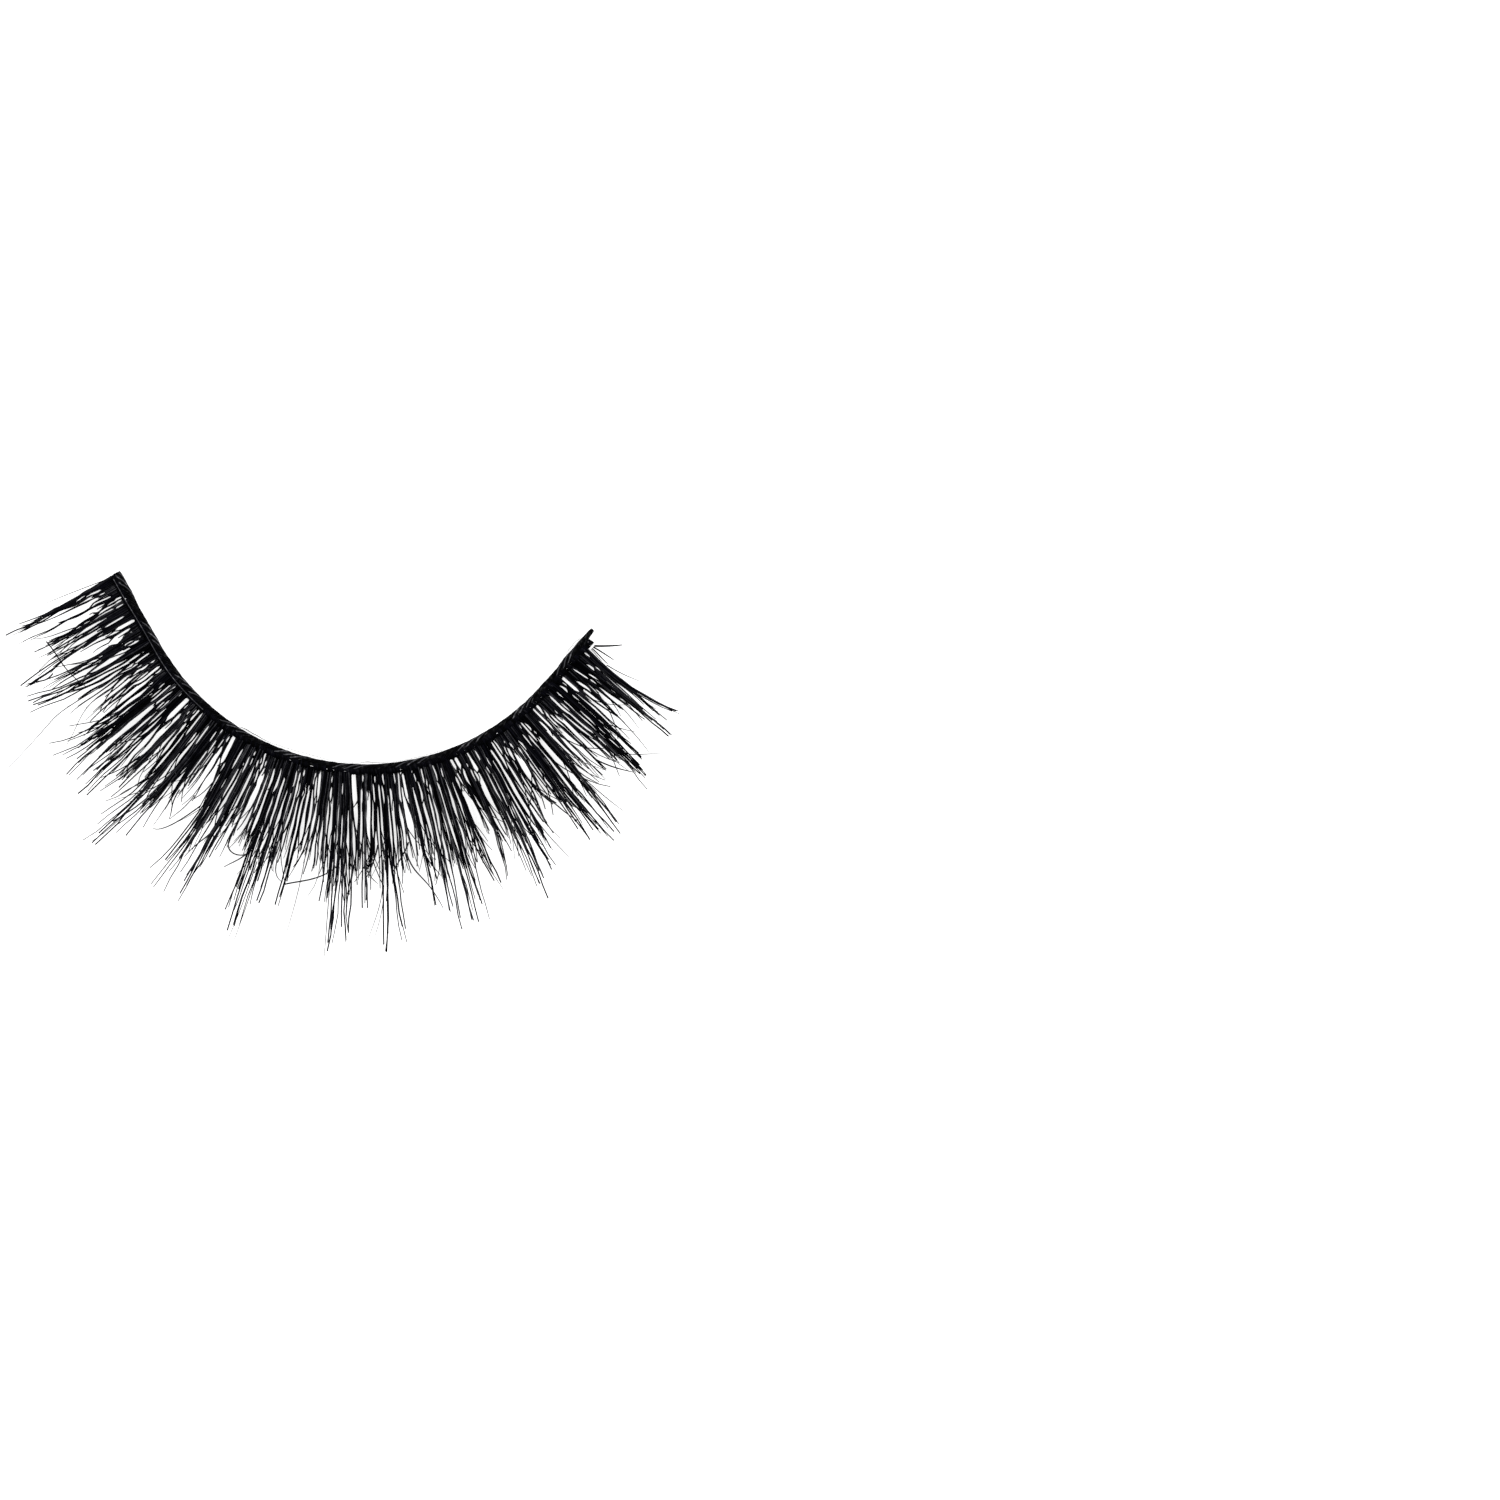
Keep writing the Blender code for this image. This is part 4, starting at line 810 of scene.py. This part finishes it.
# %% Chart of the stray hairs
# columns: along and out at four places from root to tip, share of a full hair's thickness
STRAYS = (
    (0.04, 0.6, -0.12, 1.6, -0.3, 2.8, -0.45, 4.0, 0.45),
    (1.36, 5.05, 2.4, 4.93, 3.35, 4.83, 4.6, 4.4, 0.7),
    (4.9, 3.0, 4.95, 6.0, 5.15, 7.3, 5.65, 10.1, 0.5),
    (5.18, 3.0, 5.3, 4.8, 5.68, 5.9, 6.08, 7.0, 0.4),
    (3.06, 5.6, 3.16, 6.1, 3.04, 6.5, 2.88, 7.1, 0.8),
    (7.1, 3.0, 7.06, 4.8, 7.14, 6.0, 7.26, 7.3, 0.8),
    (8.16, 4.4, 8.06, 5.3, 7.92, 6.0, 7.74, 6.7, 0.6),
    (8.88, 4.0, 8.96, 5.1, 8.8, 5.9, 8.65, 6.7, 0.6),
    (9.26, 6.0, 9.24, 7.4, 9.16, 8.6, 9.0, 9.6, 0.45),
    (10.28, 4.4, 10.36, 5.1, 10.48, 5.5, 10.62, 6.0, 0.7),
    (10.92, 4.2, 10.84, 5.0, 10.74, 5.5, 10.64, 6.0, 0.5),
    (11.36, 4.5, 11.08, 5.4, 10.72, 6.4, 10.34, 6.9, 0.7),
    (12.27, 5.0, 12.18, 5.7, 12.0, 6.3, 11.8, 7.3, 0.8),
    (13.0, 5.4, 13.18, 5.95, 13.62, 5.95, 13.95, 5.4, 0.7),
    (13.92, 5.2, 13.74, 5.9, 13.48, 6.4, 13.2, 6.9, 0.7),
    (14.25, 6.0, 14.26, 7.6, 14.25, 8.9, 14.22, 10.2, 0.5),
    (14.38, 6.0, 14.4, 7.6, 14.4, 8.9, 14.4, 10.3, 0.5),
    (14.95, 5.6, 14.98, 6.0, 15.08, 6.4, 15.34, 6.7, 0.6),
    (15.45, 6.78, 16.05, 6.42, 16.7, 6.0, 17.34, 5.25, 0.8),
    (15.95, 4.0, 15.98, 6.0, 15.95, 7.6, 15.88, 9.3, 0.4),
    (17.05, 6.0, 17.08, 7.6, 17.12, 9.0, 17.16, 10.4, 0.5),
    (18.84, 4.2, 18.72, 4.8, 18.56, 5.4, 18.4, 5.9, 0.9),
    (18.42, 5.6, 18.54, 5.9, 18.66, 6.1, 18.8, 6.3, 0.5),
    (19.0, 5.0, 18.96, 6.6, 18.78, 7.8, 18.5, 9.1, 0.45),
    (19.04, 5.0, 19.0, 6.8, 18.88, 8.0, 18.66, 9.2, 0.4),
    (20.1, 4.2, 19.94, 4.6, 19.68, 5.1, 19.38, 5.7, 0.8),
    (19.98, 4.8, 20.24, 5.8, 20.6, 6.6, 20.98, 8.0, 0.8),
    (20.76, 5.2, 20.86, 5.6, 20.98, 5.9, 21.12, 6.3, 0.6),
    (22.84, 3.6, 22.92, 4.4, 23.04, 5.1, 23.22, 5.8, 0.5),
    (22.78, 5.2, 22.82, 6.2, 22.94, 7.0, 23.1, 8.0, 0.5),
    (25.22, 4.6, 25.28, 5.9, 25.4, 6.9, 25.56, 8.0, 0.5),
    (25.72, 3.8, 25.66, 4.4, 25.58, 5.0, 25.5, 5.8, 0.5),
    (25.94, 4.4, 26.16, 5.1, 26.3, 5.8, 26.5, 6.6, 0.8),
    (27.68, 4.4, 27.76, 5.0, 27.86, 5.4, 27.98, 5.9, 0.6),
    (27.66, 4.8, 27.74, 5.8, 27.84, 6.8, 27.96, 7.8, 0.5),
    (28.54, 4.8, 28.7, 5.4, 28.9, 6.0, 29.16, 6.7, 0.8),
    (29.46, 5.4, 29.82, 6.0, 30.38, 6.6, 31.0, 7.3, 0.5),
    (30.94, 3.0, 30.82, 4.0, 30.72, 5.2, 30.5, 6.6, 0.55),
    (31.3, 3.6, 31.29, 4.2, 31.2, 4.8, 31.08, 5.4, 0.4),
    (32.48, 1.7, 32.58, 2.2, 32.74, 2.8, 33.02, 3.6, 0.55),
    (32.62, 0.5, 32.61, 0.9, 32.58, 1.3, 32.56, 1.7, 0.7),
    (32.54, 0.5, 32.52, 0.8, 32.49, 1.1, 32.47, 1.4, 0.4),
    (32.72, 0.5, 32.8, 0.9, 32.87, 1.3, 32.94, 1.8, 0.8),
    (32.8, 0.5, 33.06, 0.8, 33.44, 1.2, 33.86, 1.6, 1.1),
)
STRAY_LEVEL = SPIKE_LOW + LAYER_THICKNESS
STRAY_RADIUS = 0.056
STRAY_DRAWN = 0.5
STRAY_RINGS = 20
THIRDS = (0.0, 1 / 3, 2 / 3, 1.0)

stray_hairs = Bundle(HAIR_SIDES)
share = np.linspace(0.0, 1.0, STRAY_RINGS)
for row in STRAYS:
    along = through(THIRDS, row[0:8:2], share)
    out = through(THIRDS, row[1:8:2], share)
    radii = hair_radii(share, STRAY_RADIUS * row[8], STRAY_DRAWN)
    stray_hairs.add(on_curl(along, out, STRAY_LEVEL), radii, chance.random())
stray_hairs.build("stray_hairs", hair_finish)

# %% [markdown]
# ## The core thread
#
# The band's core is a yarn of fine filaments laid round each other. One smooth rod would
# look like wire, so the filaments are drawn one by one: each runs round the core's outline
# as it goes along, like the stripes of a rope. The outline is a rounded box, because the
# band is pressed flat where it meets the eyelid. A plain filling inside keeps light out.

# %% Core yarn
# columns: along, half width, height, shift out
CORE_SECTIONS = (
    (0.0, 0.2, 0.34, -0.07),
    (0.2, 0.24, 0.42, -0.07),
    (1.3, 0.23, 0.42, -0.06),
    (2.1, 0.2, 0.4, 0.0),
    (30.6, 0.2, 0.4, 0.0),
    (31.3, 0.22, 0.42, -0.06),
    (32.6, 0.22, 0.42, -0.07),
    (32.85, 0.15, 0.32, -0.13),
    (33.2, 0.12, 0.26, -0.15),
    (BAND_LENGTH, 0.08, 0.18, -0.16),
)
FILAMENT_RADIUS = 0.036
FILAMENTS = 19
LAY_LENGTH = 3.4  # along the band for one full turn
SQUARENESS = 0.72
SWELL = 0.015  # how far the loose filaments stand off the pressed core
LINT = 0.010  # how uneven they lie
LINT_STEP = 0.4
CORE_RINGS = 240
WANDER = 0.12  # radians that a filament strays from its even lay
WANDER_RATE = 2.3
THIN_CORE = 0.4  # a filament's radius is no greater share of the half width
FILLING = 0.8  # the filling's share of the room inside the filaments
LEAST_FILLING = 0.02


def rounded(value):
    """Pushes a sine or cosine out towards a box."""
    return np.sign(value) * np.abs(value) ** SQUARENESS


core_yarn = Bundle(HAIR_SIDES)
along = np.linspace(0.0, BAND_LENGTH, CORE_RINGS)
sections = np.array(CORE_SECTIONS).T
half_width, height, shift = [np.interp(along, sections[0], row) for row in sections[1:]]
size = np.minimum(FILAMENT_RADIUS, half_width * THIN_CORE)
lint_places = np.arange(0.0, BAND_LENGTH + 0.5, LINT_STEP)
for filament in range(FILAMENTS):
    angle = math.tau * (filament / FILAMENTS + along / LAY_LENGTH)
    angle = angle + WANDER * np.sin(along * WANDER_RATE + filament)
    uneven = np.interp(along, lint_places, chance.normal(0, LINT, len(lint_places)))
    out = shift + (half_width + SWELL - size + uneven) * rounded(np.cos(angle))
    rise = height / 2 + (height / 2 - size) * rounded(np.sin(angle))
    # a filament whose tone is above 0.72 gets the yarn's painted highlight, light grey in patches
    core_yarn.add(on_band(along, out, rise), size * MM, chance.random())
filling = np.maximum((half_width - FILAMENT_RADIUS) * FILLING, LEAST_FILLING)
core_yarn.add(on_band(along, shift, height / 2), filling * MM, 0.0)
core_yarn.build("core_yarn", yarn_finish, ["core_thread"])

# %% [markdown]
# ## The knot thread
#
# The thinner thread beside the core is two plies twisted together. The hairs are tied to it.
# In the groove between the threads lies a thin filament coloured light grey in patches, a painted
# highlight that shows as a broken grey line.

# %% Knot thread
KNOT_OUT = 0.325
KNOT_RISE = 0.20
KNOT_RADIUS = 0.055
KNOT_LAY = 0.9
KNOT_RINGS = 260
PLIES = 2
PLY_RADIUS = 0.52  # as a share of the thread's
LAST_ROOT = 32.92
GROOVE_FROM = 0.2
GROOVE_TO = 8.8
GROOVE_RINGS = 72
GROOVE_RADIUS = 0.020
GROOVE_OUT = (0.225, 0.015, 1.3)  # middle, swing to either side, radians to the millimetre
GROOVE_RISE = (0.470, 0.02, 2.1)


def swinging(along, middle, swing, rate):
    """A measure that swings about its middle along the band."""
    return middle + swing * np.sin(along * rate)


knot_yarn = Bundle(HAIR_SIDES)
along = np.linspace(0.0, LAST_ROOT, KNOT_RINGS)
for ply in range(PLIES):
    angle = math.tau * (ply / PLIES + along / KNOT_LAY)
    out = KNOT_OUT + KNOT_RADIUS / 2 * np.cos(angle)
    rise = KNOT_RISE + KNOT_RADIUS / 2 * np.sin(angle)
    radii = np.full(KNOT_RINGS, KNOT_RADIUS * PLY_RADIUS * MM)
    knot_yarn.add(on_band(along, out, rise), radii, chance.random())
along = np.linspace(GROOVE_FROM, GROOVE_TO, GROOVE_RINGS)
groove = on_band(along, swinging(along, *GROOVE_OUT), swinging(along, *GROOVE_RISE))
# the groove filament has tone 1, so the painted highlight of the yarn's finish colours it
knot_yarn.add(groove, np.full(GROOVE_RINGS, GROOVE_RADIUS * MM), 1.0)
knot_yarn.build("knot_yarn", yarn_finish, ["knot_thread"])

# %% [markdown]
# ## The knots
#
# Every few hairs are tied round both threads. Seen from above, the knots are a row of small
# ribs side by side across the band, and pinholes of light show where one was missed.

# %% Knots
KNOT_PITCH = 0.088
KNOT_JITTER = 0.005
KNOT_HAIR = 0.050  # radius of a rib
LOOP_OUT = 0.19  # the middle of a rib's loop
LOOP_RISE = 0.245
LOOP_REACH = (0.145, 0.17)  # how far a loop reaches to either side of its middle
LOOP_HALF_HEIGHT = 0.17
LEAN = 0.03  # the outer side of a loop lies this far along, the inner side as far back
LEAN_JITTER = 0.01
STEP = 0.01  # how far ahead and back to look for the band's direction
PINHOLES = (1.45, 14.20, 15.40, 16.20, 16.62, 17.22, 20.18, 25.75)
PINHOLE_HALF = 0.050
KNOT_TONE = 0.6  # pulled tight, the knots shine less than the free hairs

knots = Bundle(HAIR_SIDES)
loop = np.linspace(0.0, math.tau, 13)
rise = LOOP_RISE + LOOP_HALF_HEIGHT * np.sin(loop)
radii = np.full(len(loop), KNOT_HAIR * MM)
for number in range(int(LAST_ROOT / KNOT_PITCH)):
    place = (number + 0.5) * KNOT_PITCH + chance.normal(0, KNOT_JITTER)
    if min(abs(place - hole) for hole in PINHOLES) < PINHOLE_HALF:
        continue
    lean = LEAN + chance.normal(0, LEAN_JITTER)
    reach = chance.uniform(*LOOP_REACH)
    path = on_band(place + lean * np.cos(loop), LOOP_OUT + reach * np.cos(loop), rise)
    ahead = on_band(place + STEP, 0.0, 0.0) - on_band(place - STEP, 0.0, 0.0)
    knots.add(path, radii, KNOT_TONE * chance.random(), reference=ahead)
knots.build("lash_knots", hair_finish)

# %% [markdown]
# ## The dried glue
#
# Where the strip was peeled off its tray, a clear edge of glue stayed on the hollow side. It
# is a thin sheet that can hardly be seen, with a rolled rim coloured near black, a painted
# shade that shows as a grey line.

# %% Glue
# columns: along, width, radius of the rim
GLUE_MIDDLE = (
    (10.9, 0.03, 0.008), (11.3, 0.1, 0.024), (12.1, 0.09, 0.022), (12.7, 0.05, 0.01),
    (13.4, 0.1, 0.01), (14.2, 0.13, 0.01), (14.9, 0.15, 0.01), (15.7, 0.12, 0.01),
    (16.4, 0.05, 0.008), (17.2, 0.04, 0.008), (17.9, 0.05, 0.008), (18.4, 0.12, 0.02),
    (18.8, 0.1, 0.02), (19.2, 0.04, 0.008), (20.0, 0.03, 0.008), (20.8, 0.05, 0.01),
    (21.6, 0.07, 0.01), (22.4, 0.06, 0.01), (22.8, 0.03, 0.008),
)
GLUE_END = ((31.4, 0.03, 0.008), (31.8, 0.11, 0.012), (32.3, 0.12, 0.012), (32.6, 0.03, 0.008))
GLUE_RISE = 0.045
GLUE_HALF_THICKNESS = 0.008
GLUE_STEP = 0.15
GLUE_WAVE = 0.008  # how much the sheet's edge waves
GLUE_WAVY_FROM = 0.04  # and only where the sheet is wider than this
GLUE_WAVE_RATE = 9.0


def make_glue_sheet(name, table, start, node):
    """A sheet of glue on the hollow side: a round rim, and a flat skin as far as the thread."""
    table = np.array(table)
    first, last = table[0, 0], table[-1, 0]
    along = np.linspace(first, last, int((last - first) / GLUE_STEP) + 2)
    width = np.interp(along, table[:, 0], table[:, 1])
    width = width + GLUE_WAVE * np.sin(along * GLUE_WAVE_RATE) * (width > GLUE_WAVY_FROM)
    rim_radius = np.interp(along, table[:, 0], table[:, 2])
    sheet = Bundle(4)
    # the rim tube has tone 1, which gives it the glue's painted shade
    sheet.add(on_band(along, start - width + rim_radius, GLUE_RISE), rim_radius * MM, 1.0)
    corners = ((0, -1), (-1, -1), (-1, 1), (0, 1))
    rings = [on_band(along, start + side * width, GLUE_RISE + GLUE_HALF_THICKNESS * up)
             for side, up in corners]
    sheet.add_rings(np.stack(rings, axis=1), 0.0)
    sheet.build(name, glue_finish, [node])


make_glue_sheet("glue_edge_middle", GLUE_MIDDLE, -0.235, "glue_film_middle")
make_glue_sheet("glue_edge_end", GLUE_END, -0.325, "glue_film_end")

# %% [markdown]
# ## Studio
#
# A burnt-out white ground with no shadow takes a bright floor and light from all round. Two
# large soft lights from the sides put the grey shine along the hairs.

# %% Floor, lights and world
FLOOR_SIZE = 1.2
LIGHT_DISTANCE = 0.45
LIGHT_SIZE = 0.30
LIGHT_RISE = 0.9  # how steeply the lights stand above the ground
LIGHTS = (("light_left", 150.0, 2.2), ("light_right", 20.0, 1.8))  # name, degrees, watts

floor_finish = Finish("white_floor")
floor_finish.set(Base_Color=grey(0.42), Roughness=0.9, Emission_Color=WHITE,
                 Emission_Strength=0.74)
floor_mesh = bpy.data.meshes.new("floor")
half = FLOOR_SIZE / 2
floor_mesh.from_pydata([(-half, -half, 0), (half, -half, 0), (half, half, 0), (-half, half, 0)],
                       [], [(0, 1, 2, 3)])
floor_mesh.materials.append(floor_finish.material)
floor = bpy.data.objects.new("floor", floor_mesh)
bpy.context.collection.objects.link(floor)

for name, angle, power in LIGHTS:
    data = bpy.data.lights.new(name, "AREA")
    data.size = LIGHT_SIZE
    data.energy = power
    light = bpy.data.objects.new(name, data)
    angle = math.radians(angle)
    direction = np.array([math.cos(angle), math.sin(angle), LIGHT_RISE])
    direction /= np.linalg.norm(direction)
    light.location = direction * LIGHT_DISTANCE
    light.rotation_euler = (math.acos(direction[2]), 0.0, angle + math.pi / 2)
    bpy.context.collection.objects.link(light)

world = bpy.data.worlds.new("studio")
world.use_nodes = True
background = world.node_tree.nodes["Background"]
background.inputs["Color"].default_value = WHITE
background.inputs["Strength"].default_value = 1.0
bpy.context.scene.world = world
bpy.context.scene.view_settings.view_transform = "Standard"
print("lights", [light.name for light in bpy.data.lights])
